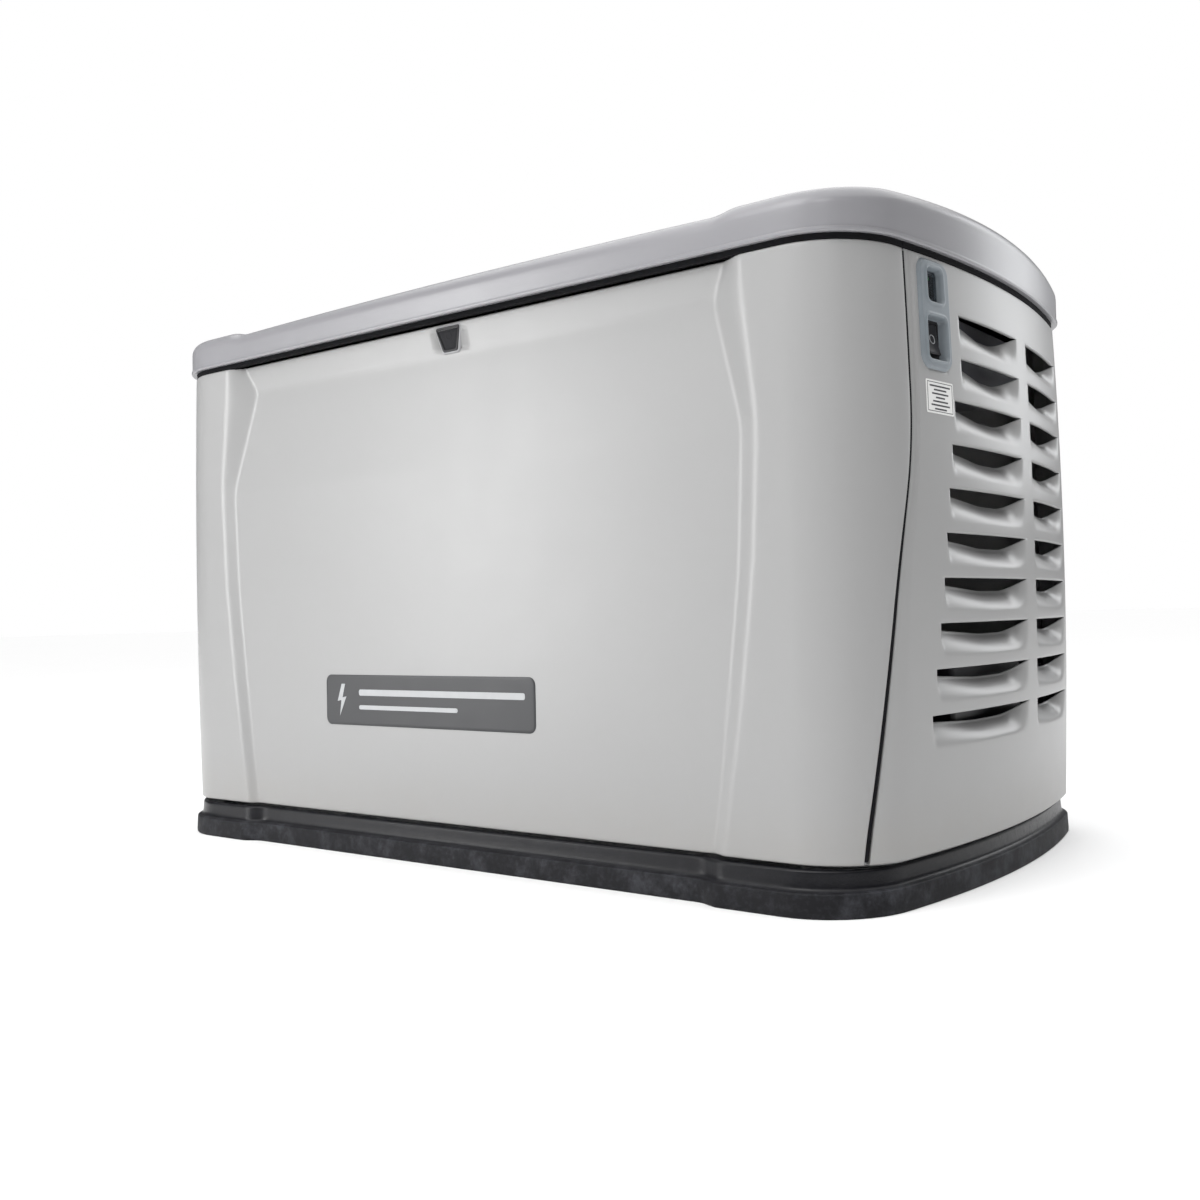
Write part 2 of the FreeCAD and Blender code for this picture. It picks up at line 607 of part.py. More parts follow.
def corner_posts():
    """Four angle-section posts between the tray and the upper frame."""
    low = TRAY_TOP_Z
    posts = []
    for sx in (-1, 1):
        for sy in (-1, 1):
            x = sorted((sx * POST_X, sx * (POST_X + POST_SIZE)))
            y = sorted((sy * POST_Y, sy * (POST_Y + POST_SIZE)))
            inner_x = sorted((sx * POST_X - sx, sx * (POST_X + POST_SIZE - POST_SHEET)))
            inner_y = sorted((sy * POST_Y - sy, sy * (POST_Y + POST_SIZE - POST_SHEET)))
            posts.append(box(x, y, (low, FRAME_Z)).cut(box(inner_x, inner_y, (low - 1, FRAME_Z + 1))))
    return posts


# ---------------------------------------------------------------- lid

def lid_dome(inset):
    """Solid crowned form of the lid, drawn in by a distance."""
    top = LID_CREST_Z - inset
    radius = LID_ARCH_R - inset
    reach = 2 * BODY_HALF_LENGTH

    def crown(z, x):
        arch = rod(radius, (x[0], 0, z - radius), (x[1], 0, z - radius))
        return arch.common(box(x, (-reach, reach), (LID_LIP_Z - 20, z + 10)))

    ends = crown(top, (-reach, reach))
    wedge = LID_STEP + 20
    low_top = LID_STEP_HALF + 4 * wedge
    notch_profile = [(-LID_STEP_HALF, top - LID_STEP - 60), (LID_STEP_HALF, top - LID_STEP - 60),
                     (low_top, top + wedge), (-low_top, top + wedge)]
    low_crown = crown(top - LID_STEP, (-reach, reach))
    notch = prism(notch_profile, "y", -reach, reach).cut(low_crown)
    block = lid_block(inset, LID_LIP_Z, top + 5).common(ends)
    edges = [e for e in block.Edges if e.BoundBox.ZMin > LID_LIP_Z + 10]
    block = block.makeFillet(LID_EDGE_R - inset, edges)
    return block.cut(notch)


def lid_shell():
    """Lid skin with an inward flange at its lip."""
    skin = lid_dome(0.0).cut(lid_dome(LID_WALL))
    low = LID_LIP_Z
    flange = lid_block(0.0, low, low + LID_WALL).cut(lid_block(LID_FLANGE, low, low + LID_WALL))
    return fuse([skin, flange])


def hinge_knuckles(offsets):
    """Hinge barrels at the given offsets from each hinge's middle, with a bore for the pin."""
    barrels = []
    for s in (-1, 1):
        for offset in offsets:
            x = s * HINGE_X + offset
            half = HINGE_KNUCKLE / 2
            barrels.append((x, rod(HINGE_BARREL_R, (x - half, HINGE_Y, HINGE_Z),
                                   (x + half, HINGE_Y, HINGE_Z))))
    return barrels


def hinge_bore():
    """Bore of both hinges."""
    return rod(HINGE_PIN_R + FIT, (-BODY_HALF_LENGTH, HINGE_Y, HINGE_Z),
               (BODY_HALF_LENGTH, HINGE_Y, HINGE_Z))


def lid_hinge_leaves():
    """Hinge halves on the lid: one middle knuckle with a leaf up the lid's back wall."""
    leaves = []
    half = HINGE_KNUCKLE / 2
    for x, barrel in hinge_knuckles((0.0,)):
        leaf = box((x - half, x + half), (LID_HALF_WIDTH, LID_HALF_WIDTH + LEAF_T),
                   (HINGE_Z, LID_LIP_Z + 14))
        leaves.append(barrel.fuse(leaf).cut(hinge_bore()))
    return leaves


def lid_hinge_brackets():
    """Hinge halves on the rear panel: two outer knuckles and a leaf down the panel."""
    brackets = []
    half = HINGE_KNUCKLE / 2
    for s in (-1, 1):
        wide = KNUCKLE_STEP + half
        x = (s * HINGE_X - wide, s * HINGE_X + wide)
        face = BODY_HALF_WIDTH
        leaf = box(x, (face, face + LEAF_T), (HINGE_Z - 40, HINGE_Z - 8))
        brackets.append([leaf])
        for offset in (-KNUCKLE_STEP, KNUCKLE_STEP):
            mid = s * HINGE_X + offset
            barrel = rod(HINGE_BARREL_R, (mid - half, HINGE_Y, HINGE_Z),
                         (mid + half, HINGE_Y, HINGE_Z))
            web = prism([(face, HINGE_Z - 9), (face + LEAF_T, HINGE_Z - 9),
                         (HINGE_Y + 2, HINGE_Z - 4), (HINGE_Y - 4, HINGE_Z + 1), (face, HINGE_Z - 5)],
                        "x", mid - half, mid + half)
            brackets[-1] += [barrel, web]
    return [fuse(b).cut(hinge_bore()) for b in brackets]


def lid_hinge_pins():
    """Headed pin through each hinge."""
    pins = []
    for s in (-1, 1):
        reach = KNUCKLE_STEP + HINGE_KNUCKLE / 2 + CLEAR
        a, b = s * HINGE_X - reach, s * HINGE_X + reach
        pin = rod(HINGE_PIN_R, (a, HINGE_Y, HINGE_Z), (b, HINGE_Y, HINGE_Z))
        heads = [rod(HINGE_BARREL_R - 1, (a - 2, HINGE_Y, HINGE_Z), (a, HINGE_Y, HINGE_Z)),
                 rod(HINGE_BARREL_R - 1, (b, HINGE_Y, HINGE_Z), (b + 2, HINGE_Y, HINGE_Z))]
        pins.append(fuse([pin] + heads))
    return pins


# ---------------------------------------------------------------- lock

def recess_y(z):
    """Place of the recess floor across the width, at a height in its top band."""
    (d1, z1), (d2, z2) = RECESS_DEPTHS[1:]
    return -BODY_HALF_WIDTH + d1 + (d2 - d1) * (z - z1) / (z2 - z1)


LOCK_MID_Z = (LOCK_Z[0] + LOCK_Z[1]) / 2
LOCK_TILT = math.degrees(math.atan((RECESS_DEPTHS[1][0] - RECESS_DEPTHS[2][0])
                                   / (RECESS_DEPTHS[2][1] - RECESS_DEPTHS[1][1])))


def lock_place(shape):
    """Move a lock piece, drawn on an upright face at y = 0, on to the recess's sloping floor."""
    placed = shape.copy()
    placed.rotate(V(0, 0, LOCK_MID_Z), X_AXIS, LOCK_TILT)
    placed.translate(V(0, recess_y(LOCK_MID_Z), 0))
    return placed


def lock_prism(grow, front, back):
    """Trapezoid of the lock, enlarged by a margin, between two depths."""
    top, foot = LOCK_TOP_W / 2 + grow, LOCK_FOOT_W / 2 + grow
    low, high = LOCK_Z[0] - grow, LOCK_Z[1] + grow
    return prism([(-foot, low), (foot, low), (top, high), (-top, high)], "y", front, back)


def lock_housing():
    """Surround and cup of the lock."""
    rim = lock_prism(0.0, -2.0, 0.0)
    cup = lock_prism(-LOCK_RIM * 0.5 - CLEAR, 0.0, LOCK_DEEP)
    seat = lock_prism(-LOCK_RIM, -3.0, LOCK_COVER_T)
    bore = rod(LOCK_CYL_R + FIT, (0, -10, LOCK_MID_Z), (0, LOCK_DEEP + 10, LOCK_MID_Z))
    return lock_place(fuse([rim, cup]).cut([seat, bore, lock_hinge(FIT)]))


def lock_hinge(grow):
    """Pin at the foot of the lock's cover."""
    half = LOCK_FOOT_W / 2 - LOCK_RIM + 1.2 + grow
    y = LOCK_COVER_T / 2 - 0.8
    return rod(LOCK_HINGE_R + grow, (-half, y, LOCK_HINGE_Z), (half, y, LOCK_HINGE_Z))


def lock_cylinder():
    """Key cylinder with the locking cam on its inner end."""
    body = rod(LOCK_CYL_R, (0, LOCK_COVER_T + 1, LOCK_MID_Z), (0, LOCK_DEEP + CAM_T, LOCK_MID_Z))
    slot = box((-1, 1), (0, 8), (LOCK_MID_Z - 5, LOCK_MID_Z + 5))
    cam = box((-CAM_L, 6), (LOCK_DEEP + CLEAR, LOCK_DEEP + CLEAR + CAM_T),
              (LOCK_MID_Z - 6, LOCK_MID_Z + 6))
    return lock_place(fuse([body, cam]).cut(slot))


def lock_cover():
    """Flap over the keyhole, hinged at its foot."""
    flap = lock_prism(-LOCK_RIM - CLEAR, -1.0, LOCK_COVER_T - CLEAR)
    flap = flap.cut(box((-LOCK_TOP_W, LOCK_TOP_W), (-5, 10), (LOCK_Z[0], LOCK_HINGE_Z - 1)))
    foot = LOCK_FOOT_W / 2 - LOCK_RIM - CLEAR
    ears = [box(x, (-5, 10), (LOCK_Z[0], LOCK_HINGE_Z + LOCK_EAR_H))
            for x in ((-LOCK_TOP_W, -foot), (foot, LOCK_TOP_W))]
    flap = flap.cut(ears)
    tab = box((-3, 3), (-3.0, -1.0), (LOCK_Z[1] - 9, LOCK_Z[1] - 6))
    return lock_place(fuse([flap, tab, lock_hinge(0.0)]))


# ---------------------------------------------------------------- pieces on the right end

def end_plate(half_w, low, high, radius, out, deep):
    """Upright rounded block on the right end, between two depths from its face."""
    face = BODY_HALF_LENGTH
    block = rounded_block((face - deep, face + out), (-half_w, half_w), (low, high), radius, X_AXIS)
    return on_end(block, BEZEL_Y)


def bezel_plug(grow):
    """Part of the bezel that goes through the panel."""
    half = BEZEL_W / 2 - BEZEL_FLANGE + grow
    return end_plate(half, BEZEL_Z[0] + BEZEL_FLANGE - grow, BEZEL_Z[1] - BEZEL_FLANGE + grow,
                     BEZEL_R - BEZEL_FLANGE, BEZEL_PROUD, BEZEL_DEEP)


def control_bezel():
    """Moulded bezel with a window above and a switch pocket below."""
    flange = end_plate(BEZEL_W / 2, *BEZEL_Z, BEZEL_R, BEZEL_PROUD, 6.0)
    flange = flange.cut(body_block(0.0, HEM_Z, PANEL_TOP_Z))
    window = end_plate(*WINDOW, 6.0, 20, WINDOW_DEPTH)
    light = end_plate(WINDOW[0] - 2, WINDOW[1] + 2, WINDOW[2] - 2, 5.0, 20, BEZEL_DEEP + 5)
    pocket = end_plate(*POCKET, 7.0, 20, POCKET_DEPTH)
    half, low, high = rocker_limits()
    rocker = end_plate(half + ROCKER_GAP, low - ROCKER_GAP, high + ROCKER_GAP, 2.0, 20, BEZEL_DEEP + 5)
    return fuse([flange, bezel_plug(0.0)]).cut([window, light, pocket, rocker, rocker_pin(FIT)])


def rocker_limits():
    """Half width and height limits of the shutdown rocker."""
    return (POCKET[0] - ROCKER_INSET - ROCKER_GAP, POCKET[1] + ROCKER_INSET + ROCKER_GAP,
            POCKET[2] - ROCKER_INSET - ROCKER_GAP)


def rocker_pin(grow):
    """Pivot pin of the rocker, across the bezel's pocket."""
    half, low, high = rocker_limits()
    x, z = BODY_HALF_LENGTH - ROCKER_DEPTH, (low + high) / 2
    reach = half + ROCKER_GAP + 2.5 + grow
    return on_end(rod(ROCKER_PIN_R + grow, (x, -reach, z), (x, reach, z)), BEZEL_Y)


def status_lens():
    half, low, high = WINDOW
    return end_plate(half - CLEAR, low + CLEAR, high - CLEAR, 5.5, LENS_T - WINDOW_DEPTH, WINDOW_DEPTH)


def status_lights():
    """Three lamps on a small board behind the lens."""
    face = BODY_HALF_LENGTH
    lamps = []
    board = box((face - BEZEL_DEEP - 2, face - BEZEL_DEEP), (-WINDOW[0], WINDOW[0]),
                (WINDOW[1], WINDOW[2]))
    step = (WINDOW[2] - WINDOW[1]) / 4
    for k in (1, 2, 3):
        z = WINDOW[1] + k * step
        lamps.append(rod(STATUS_LAMP_R, (face - BEZEL_DEEP, 0, z), (face - WINDOW_DEPTH - LENS_T, 0, z)))
    return on_end(fuse([board] + lamps), BEZEL_Y)


def shutdown_switch():
    """Rocker of the shutdown switch on its pin, leaning to its run side."""
    face = BODY_HALF_LENGTH
    half, low, high = rocker_limits()
    mid = (low + high) / 2
    front, back = face - ROCKER_DEPTH + 4.0, face - ROCKER_DEPTH - 3.0
    points = [(front, low), (front - 1.5, mid), (front, high), (back, high), (back - 1, mid), (back, low)]
    solid = prism(points, "y", -half, half)
    solid.rotate(V(face - ROCKER_DEPTH, 0, mid), Y_AXIS, -ROCKER_TIP)
    return on_end(solid, BEZEL_Y).fuse(rocker_pin(0.0))


def rating_label():
    """Blank label that follows the panel below the bezel."""
    sleeve = body_block(-LABEL_T, *LABEL_Z).cut(body_block(0.0, *LABEL_Z))
    across = (BEZEL_Y + 3 - LABEL_W / 2, BEZEL_Y + 3 + LABEL_W / 2)
    return sleeve.common(box((0, 2 * BODY_HALF_LENGTH), across, LABEL_Z))


def name_plate():
    """Plain plate on the front panel."""
    face = -BODY_HALF_WIDTH + RECESS_DEPTHS[0][0]
    return rounded_block(PLATE_X, (face - PLATE_T, face), PLATE_Z, 12.0, Y_AXIS)


# ---------------------------------------------------------------- engine and alternator

def tilted(shape, side):
    """Turn a piece drawn upright over the crank to one bank of the engine."""
    turned = shape.copy()
    turned.rotate(V(0, 0, CRANK_Z), X_AXIS, -side * CYLINDER_TILT)
    return turned


BANKS = ((-1, CYLINDER_X[0]), (1, CYLINDER_X[1]))


def upright(size, x, low):
    """Block of a bank drawn upright over the crank: length, width and height from a radius."""
    length, width, height = size
    return box((x - length / 2, x + length / 2), (-width / 2, width / 2),
               (CRANK_Z + low, CRANK_Z + low + height))


def crankcase():
    """Crankcase with its sump, feet, dipstick tube and the bell that carries the alternator."""
    bell_x = CASE_X[1] + 6
    drum = rod(CASE_R, (CASE_X[0], 0, CRANK_Z), (bell_x + 1, 0, CRANK_Z))
    sump = box(CASE_X, (-SUMP_HALF_WIDTH, SUMP_HALF_WIDTH), (SUMP_Z, CRANK_Z))
    decks = [tilted(upright((108, 108, CYLINDER_START), x, 0), s) for s, x in BANKS]
    bell = rod(STATOR_R, (bell_x, 0, CRANK_Z), (STATOR_X[0], 0, CRANK_Z))
    bell = bell.cut(rod(STATOR_R - 10, (bell_x + 8, 0, CRANK_Z), (STATOR_X[0] + 1, 0, CRANK_Z)))
    vents = [box((bell_x + 12, STATOR_X[0] - 10), (y, y + 24), (CRANK_Z - 130, CRANK_Z + 130))
             for y in (-84, -48, -12, 24, 60)]
    foot_z = TRAY_TOP_Z + MOUNT_H
    feet = [box((MOUNT_X[0] - 30, MOUNT_X[0] + 30), (-MOUNT_Y - 30, MOUNT_Y + 30),
                (foot_z, foot_z + FOOT_T)),
            box((MOUNT_X[0] - 22, MOUNT_X[0] + 22), (-80, 80), (foot_z, SUMP_Z + 5))]
    tube = rod(DIPSTICK_R + 5, (DIPSTICK_X, DIPSTICK_Y, CRANK_Z - 40), (DIPSTICK_X, DIPSTICK_Y, DIPSTICK_Z))
    outer = fuse([drum, sump] + decks + feet + [tube, bell.cut(vents)])
    chamber = rod(CASE_R - CASE_WALL, (CASE_X[0] + 14, 0, CRANK_Z), (CASE_X[1] - 14, 0, CRANK_Z))
    oil = box((CASE_X[0] + 14, CASE_X[1] - 14), (-SUMP_HALF_WIDTH + 10, SUMP_HALF_WIDTH - 10),
              (SUMP_Z + 10, CRANK_Z))
    bores = [tilted(rod(BORE_R, (x, 0, CRANK_Z), (x, 0, CRANK_Z + 120)), s) for s, x in BANKS]
    shaft = rod(CRANK_R + FIT, (CASE_X[0] - 5, 0, CRANK_Z), (bell_x + 10, 0, CRANK_Z))
    stick = rod(DIPSTICK_R + 1, (DIPSTICK_X, DIPSTICK_Y, SUMP_Z + 12),
                (DIPSTICK_X, DIPSTICK_Y, DIPSTICK_Z + 5))
    return outer.cut([fuse([chamber, oil]), shaft, stick] + bores)


def oil_dipstick():
    """Dipstick with its ring handle."""
    x, y = DIPSTICK_X, DIPSTICK_Y
    stick = rod(DIPSTICK_R, (x, y, SUMP_Z + 25), (x, y, DIPSTICK_Z + 2))
    cap = rod(DIPSTICK_R + 7, (x, y, DIPSTICK_Z), (x, y, DIPSTICK_Z + 12))
    ring = Part.makeTorus(11, 3, V(x, y, DIPSTICK_Z + 24), Y_AXIS)
    return fuse([stick, cap, ring])


def cylinders():
    """Two finned barrels."""
    barrels = []
    for side, x in BANKS:
        low, high = CRANK_Z + CYLINDER_START, CRANK_Z + CYLINDER_END
        shapes = [rod(BARREL_R, (x, 0, low), (x, 0, high))]
        count = int((high - low - FIN_T) / FIN_PITCH)
        for k in range(1, count + 1):
            z = low + k * FIN_PITCH
            shapes.append(rod(FIN_R, (x, 0, z), (x, 0, z + FIN_T)))
        solid = fuse(shapes).cut(rod(BORE_R, (x, 0, low - 1), (x, 0, high + 1)))
        barrels.append(tilted(solid, side))
    return barrels


def cylinder_heads():
    """Two finned heads with their ports."""
    heads = []
    for side, x in BANKS:
        block = upright(HEAD_SIZE, x, CYLINDER_END)
        low = CRANK_Z + CYLINDER_END
        grooves = []
        for k in range(4):
            z = low + 8 + k * FIN_PITCH
            slot = box((x - 80, x + 80), (-80, 80), (z, z + FIN_PITCH - FIN_T))
            grooves.append(slot.cut(box((x - 44, x + 44), (-40, 40), (z, z + FIN_PITCH))))
        ports = [rod(PIPE_R + 3, (x - HEAD_SIZE[0] / 2, 0, low + PORT_UP), (x, 0, low + PORT_UP)),
                 rod(PLUG_R + 5, (x, 0, low + PORT_UP), (x + HEAD_SIZE[0] / 2, 0, low + PORT_UP))]
        solid = fuse([block.cut(grooves)] + ports)
        port_z, half = low + PORT_UP, HEAD_SIZE[0] / 2
        solid = solid.cut([rod(PIPE_R, (x - 90, 0, port_z), (x - 20, 0, port_z)),
                           rod(PLUG_R, (x + half - 18, 0, port_z), (x + 90, 0, port_z))])
        heads.append(tilted(solid, side))
    return heads


def spark_plugs():
    """Spark plug and boot in each head."""
    plugs = []
    for side, x in BANKS:
        z = CRANK_Z + CYLINDER_END + PORT_UP
        start = x + HEAD_SIZE[0] / 2
        plug = fuse([rod(PLUG_R, (start - 18, 0, z), (start + 6, 0, z)),
                     rod(PLUG_R + 4, (start, 0, z), (start + 34, 0, z))])
        plugs.append(tilted(plug, side))
    return plugs


def rocker_covers():
    """Rounded rocker covers."""
    covers = []
    for side, x in BANKS:
        low = CRANK_Z + CYLINDER_END + HEAD_SIZE[2]
        length, width, height = COVER_SIZE
        block = rounded_block((x - length / 2, x + length / 2), (-width / 2, width / 2),
                              (low, low + height), 14.0, Z_AXIS)
        top = [e for e in block.Edges if e.BoundBox.ZMin > low + height - 0.1]
        covers.append(tilted(block.makeFillet(8.0, top), side))
    return covers


def crankshaft():
    """Crankshaft with its webs, crankpin and the taper that drives the rotor."""
    start = CASE_X[0] + 38
    webs = [(start, start + 10), (start + 44, start + 60), (start + 94, start + 104)]
    shapes = [rod(CRANK_R, (FLYWHEEL_X[0] - 8, 0, CRANK_Z), (webs[0][1], 0, CRANK_Z)),
              rod(CRANK_R, (webs[-1][0], 0, CRANK_Z), (ROTOR_X[0] - CLEAR, 0, CRANK_Z))]
    for a, b in webs:
        shapes.append(rod(CRANK_WEB_R, (a, 0, CRANK_Z), (b, 0, CRANK_Z)))
    shapes.append(rod(14, (webs[0][0], 0, CRANK_Z - CRANK_THROW), (webs[-1][1], 0, CRANK_Z - CRANK_THROW)))
    return fuse(shapes)


def flywheel_fan():
    """Flywheel with fan blades on its outer face."""
    a, b = FLYWHEEL_X
    disc = rod(FLYWHEEL_R, (b - 12, 0, CRANK_Z), (b, 0, CRANK_Z))
    hub = rod(34, (a, 0, CRANK_Z), (b, 0, CRANK_Z))
    shapes = [disc, hub]
    for k in range(FAN_BLADES):
        blade = box((a, b - 11), (-1.5, 1.5), (CRANK_Z + 62, CRANK_Z + FLYWHEEL_R - 2))
        blade.rotate(V(a, 0, CRANK_Z + 85), X_AXIS, 24)
        blade.rotate(V(a, 0, CRANK_Z), X_AXIS, 360.0 * k / FAN_BLADES)
        shapes.append(blade)
    return fuse(shapes).cut(rod(CRANK_R, (a - 1, 0, CRANK_Z), (b + 1, 0, CRANK_Z)))


def blower_housing():
    """Shroud round the flywheel fan, with a guarded inlet."""
    a, b = BLOWER_X
    wall = BLOWER_WALL
    can = rod(BLOWER_R, (a, 0, CRANK_Z), (b, 0, CRANK_Z)).cut(
        rod(BLOWER_R - wall, (a + wall, 0, CRANK_Z), (b + 1, 0, CRANK_Z)))
    inlet = rod(88, (a - 1, 0, CRANK_Z), (a + wall + 1, 0, CRANK_Z))
    back = rod(BLOWER_R, (b - wall, 0, CRANK_Z), (b, 0, CRANK_Z)).cut(
        rod(86, (b - wall - 1, 0, CRANK_Z), (b + 1, 0, CRANK_Z)))
    can = fuse([can.cut(inlet), back])
    rings = []
    for radius in (24, 44, 64, 84):
        ring = rod(radius + 2, (a, 0, CRANK_Z), (a + 2, 0, CRANK_Z)).cut(
            rod(radius, (a - 1, 0, CRANK_Z), (a + 3, 0, CRANK_Z)))
        rings.append(ring)
    spokes = [box((a, a + 2), (-90, 90), (CRANK_Z - 3, CRANK_Z + 3)),
              box((a, a + 2), (-3, 3), (CRANK_Z - 90, CRANK_Z + 90))]
    return fuse([can] + rings + spokes)


def stator():
    """Alternator core with its winding heads."""
    core = rod(STATOR_R, (STATOR_X[0], 0, CRANK_Z), (STATOR_X[1], 0, CRANK_Z))
    core = core.cut(rod(STATOR_BORE_R, (STATOR_X[0] - 1, 0, CRANK_Z), (STATOR_X[1] + 1, 0, CRANK_Z)))
    grooves = [rod(STATOR_R + 5, (x, 0, CRANK_Z), (x + 2, 0, CRANK_Z)).cut(
        rod(STATOR_R - 1.5, (x - 1, 0, CRANK_Z), (x + 3, 0, CRANK_Z)))
        for x in range(int(STATOR_X[0]) + 20, int(STATOR_X[1]) - 10, 10)]
    return core.cut(Part.Compound(grooves + [b for b in bolt_holes(CLEAR)]))


def bolt_holes(grow):
    """Four long bolts that clamp the stator, as rods."""
    offset = STATOR_BOLT_OFFSET
    return [rod(STATOR_BOLT_R + grow, (STATOR_X[0] - 10, sy * offset, CRANK_Z + sz * offset),
                (CARRIER_X[1], sy * offset, CRANK_Z + sz * offset))
            for sy in (-1, 1) for sz in (-1, 1)]


def stator_bolts():
    """Stator bolts with hexagon heads."""
    bolts = []
    for shank in bolt_holes(0.0):
        centre = shank.CenterOfMass
        head = Part.makeCylinder(8, 6, V(CARRIER_X[1], centre.y, centre.z), X_AXIS)
        bolts.append(shank.fuse(head))
    return bolts


def rotor():
    """Rotor with its shaft end and slip rings, bored for the crankshaft's taper."""
    core = rod(ROTOR_R, (ROTOR_X[0], 0, CRANK_Z), (ROTOR_X[1], 0, CRANK_Z))
    flats = [box((ROTOR_X[0] - 1, ROTOR_X[1] + 1), y, (CRANK_Z - 34, CRANK_Z + 34))
             for y in ((-ROTOR_R - 1, -52), (52, ROTOR_R + 1))]
    shaft = rod(CRANK_R, (ROTOR_X[1] - 1, 0, CRANK_Z), (SHAFT_END_X, 0, CRANK_Z))
    rings = [rod(CRANK_R + 4, (x, 0, CRANK_Z), (x + 6, 0, CRANK_Z))
             for x in (ROTOR_X[1] + 2, ROTOR_X[1] + 9)]
    return fuse([core.cut(flats), shaft] + rings)


def bearing_carrier():
    """Cast end frame with the rotor's bearing bore and its foot."""
    a, b = CARRIER_X
    plate = rod(STATOR_R, (a, 0, CRANK_Z), (b, 0, CRANK_Z))
    pocket = rod(STATOR_R - 12, (a - 1, 0, CRANK_Z), (b - 12, 0, CRANK_Z)).cut(
        rod(40, (a - 1, 0, CRANK_Z), (b, 0, CRANK_Z)))
    vents = []
    for k in range(8):
        vent = box((a, b + 1), (-12, 12), (CRANK_Z + 54, CRANK_Z + 92))
        vent.rotate(V(a, 0, CRANK_Z), X_AXIS, 45.0 * k)
        if k % 2 == 0:
            vents.append(vent)
    foot_z = TRAY_TOP_Z + MOUNT_H
    feet = [box((MOUNT_X[1] - 18, MOUNT_X[1] + 18), (-MOUNT_Y - 30, MOUNT_Y + 30),
                (foot_z, foot_z + FOOT_T)),
            box((MOUNT_X[1] - 18, MOUNT_X[1] + 18), (-60, 60), (foot_z, CRANK_Z - 95))]
    solid = fuse([plate.cut([pocket] + vents)] + feet)
    bore = rod(CRANK_R + FIT, (a - 5, 0, CRANK_Z), (b + 5, 0, CRANK_Z))
    return solid.cut([bore] + bolt_holes(CLEAR))


def engine_mounts():
    """Four rubber mounts."""
    low = TRAY_TOP_Z
    return [rod(MOUNT_R, (x, s * MOUNT_Y, low), (x, s * MOUNT_Y, low + MOUNT_H))
            for x in MOUNT_X for s in (-1, 1)]


def starter_motor():
    """Starter motor and solenoid on the side of the sump."""
    y = SUMP_HALF_WIDTH + 36
    x, z = CASE_X[0], CRANK_Z - 60
    motor = rod(32, (x + 8, y, z), (x + 132, y, z))
    solenoid = rod(16, (x + 30, y + 6, z + 48), (x + 100, y + 6, z + 48))
    link = box((x + 38, x + 92), (y - 6, y + 18), (z + 20, z + 44))
    foot = box((x + 20, x + 100), (SUMP_HALF_WIDTH, y), (z - 14, z + 14))
    return fuse([motor, solenoid, link, foot])


def oil_filter():
    """Spin-on filter on the front of the sump."""
    front = -SUMP_HALF_WIDTH
    x, z = CASE_X[0] + 85, CRANK_Z - 72
    can = rod(38, (x, front - 82, z), (x, front - 6, z))
    neck = rod(26, (x, front - 8, z), (x, front, z))
    edge = [e for e in can.Edges if e.BoundBox.YMax < front - 81]
    return fuse([can.makeFillet(9.0, edge), neck])


def intake_mixer():
    """Fuel mixer with a runner to each head."""
    x = MIXER_X
    z = CRANK_Z + 191
    throat = rod(MIXER_R, (x, 0, z - 30), (x, 0, AIR_BOX_Z[0]))
    runners = []
    for side, head_x in BANKS:
        runners.append(pipe(RUNNER_R, [(x, 0, z), (head_x, side * 45, z), (head_x, side * 112, z)]))
    flange = rod(MIXER_R + 12, (x, 0, AIR_BOX_Z[0] - 6), (x, 0, AIR_BOX_Z[0]))
    return fuse([throat, flange] + runners).cut(cylinder_heads())


def air_cleaner():
    """Air cleaner box with a ribbed cover."""
    box_body = rounded_block(AIR_BOX_X, (-AIR_BOX_HALF, AIR_BOX_HALF), AIR_BOX_Z, 18.0, Z_AXIS)
    ribs = [box((x, x + 6), (-AIR_BOX_HALF + 16, AIR_BOX_HALF - 16), (AIR_BOX_Z[1] - 1, AIR_BOX_Z[1] + 5))
            for x in range(int(AIR_BOX_X[0]) + 22, int(AIR_BOX_X[1]) - 20, 18)]
    return fuse([box_body] + ribs)


def head_port(side, x):
    """Place of a head's exhaust port."""
    reach = CYLINDER_END + PORT_UP
    angle = math.radians(CYLINDER_TILT)
    return (x - HEAD_SIZE[0] / 2, side * reach * math.sin(angle), CRANK_Z + reach * math.cos(angle))


MUFFLER_Z = head_port(-1, 0)[2]


def muffler():
    """Muffler can across the left compartment, with its legs and tailpipe."""
    x, z = MUFFLER_X, MUFFLER_Z
    can = rod(MUFFLER_R, (x, -MUFFLER_HALF, z), (x, MUFFLER_HALF, z))
    ends = [e for e in can.Edges if e.BoundBox.YLength < 1]
    can = can.makeFillet(12.0, ends)
    bands = [rod(MUFFLER_R + 2, (x, y, z), (x, y + 14, z)) for y in (-MUFFLER_LEG_Y, MUFFLER_LEG_Y - 14)]
    floor = TRAY_TOP_Z
    legs = []
    for y in (-MUFFLER_LEG_Y, MUFFLER_LEG_Y - 14):
        legs.append(box((x - 20, x + 20), (y, y + 3), (floor, z - 40)))
        legs.append(box((x - 20, x + 20), (y, y + 30), (floor, floor + 3)))
    tail = pipe(PIPE_R, [(x, 0, z - 40), (x, 0, z - 110), (x - 60, 0, z - 110)])
    tail = tail.cut(rod(PIPE_R - PIPE_WALL, (x - 30, 0, z - 110), (x - 61, 0, z - 110)))
    inlets = [rod(PIPE_R + 3, (x, head_port(s, 0)[1], z), (MUFFLER_INLET_X, head_port(s, 0)[1], z))
              for s in (-1, 1)]
    return fuse([can, tail] + bands + legs + inlets)


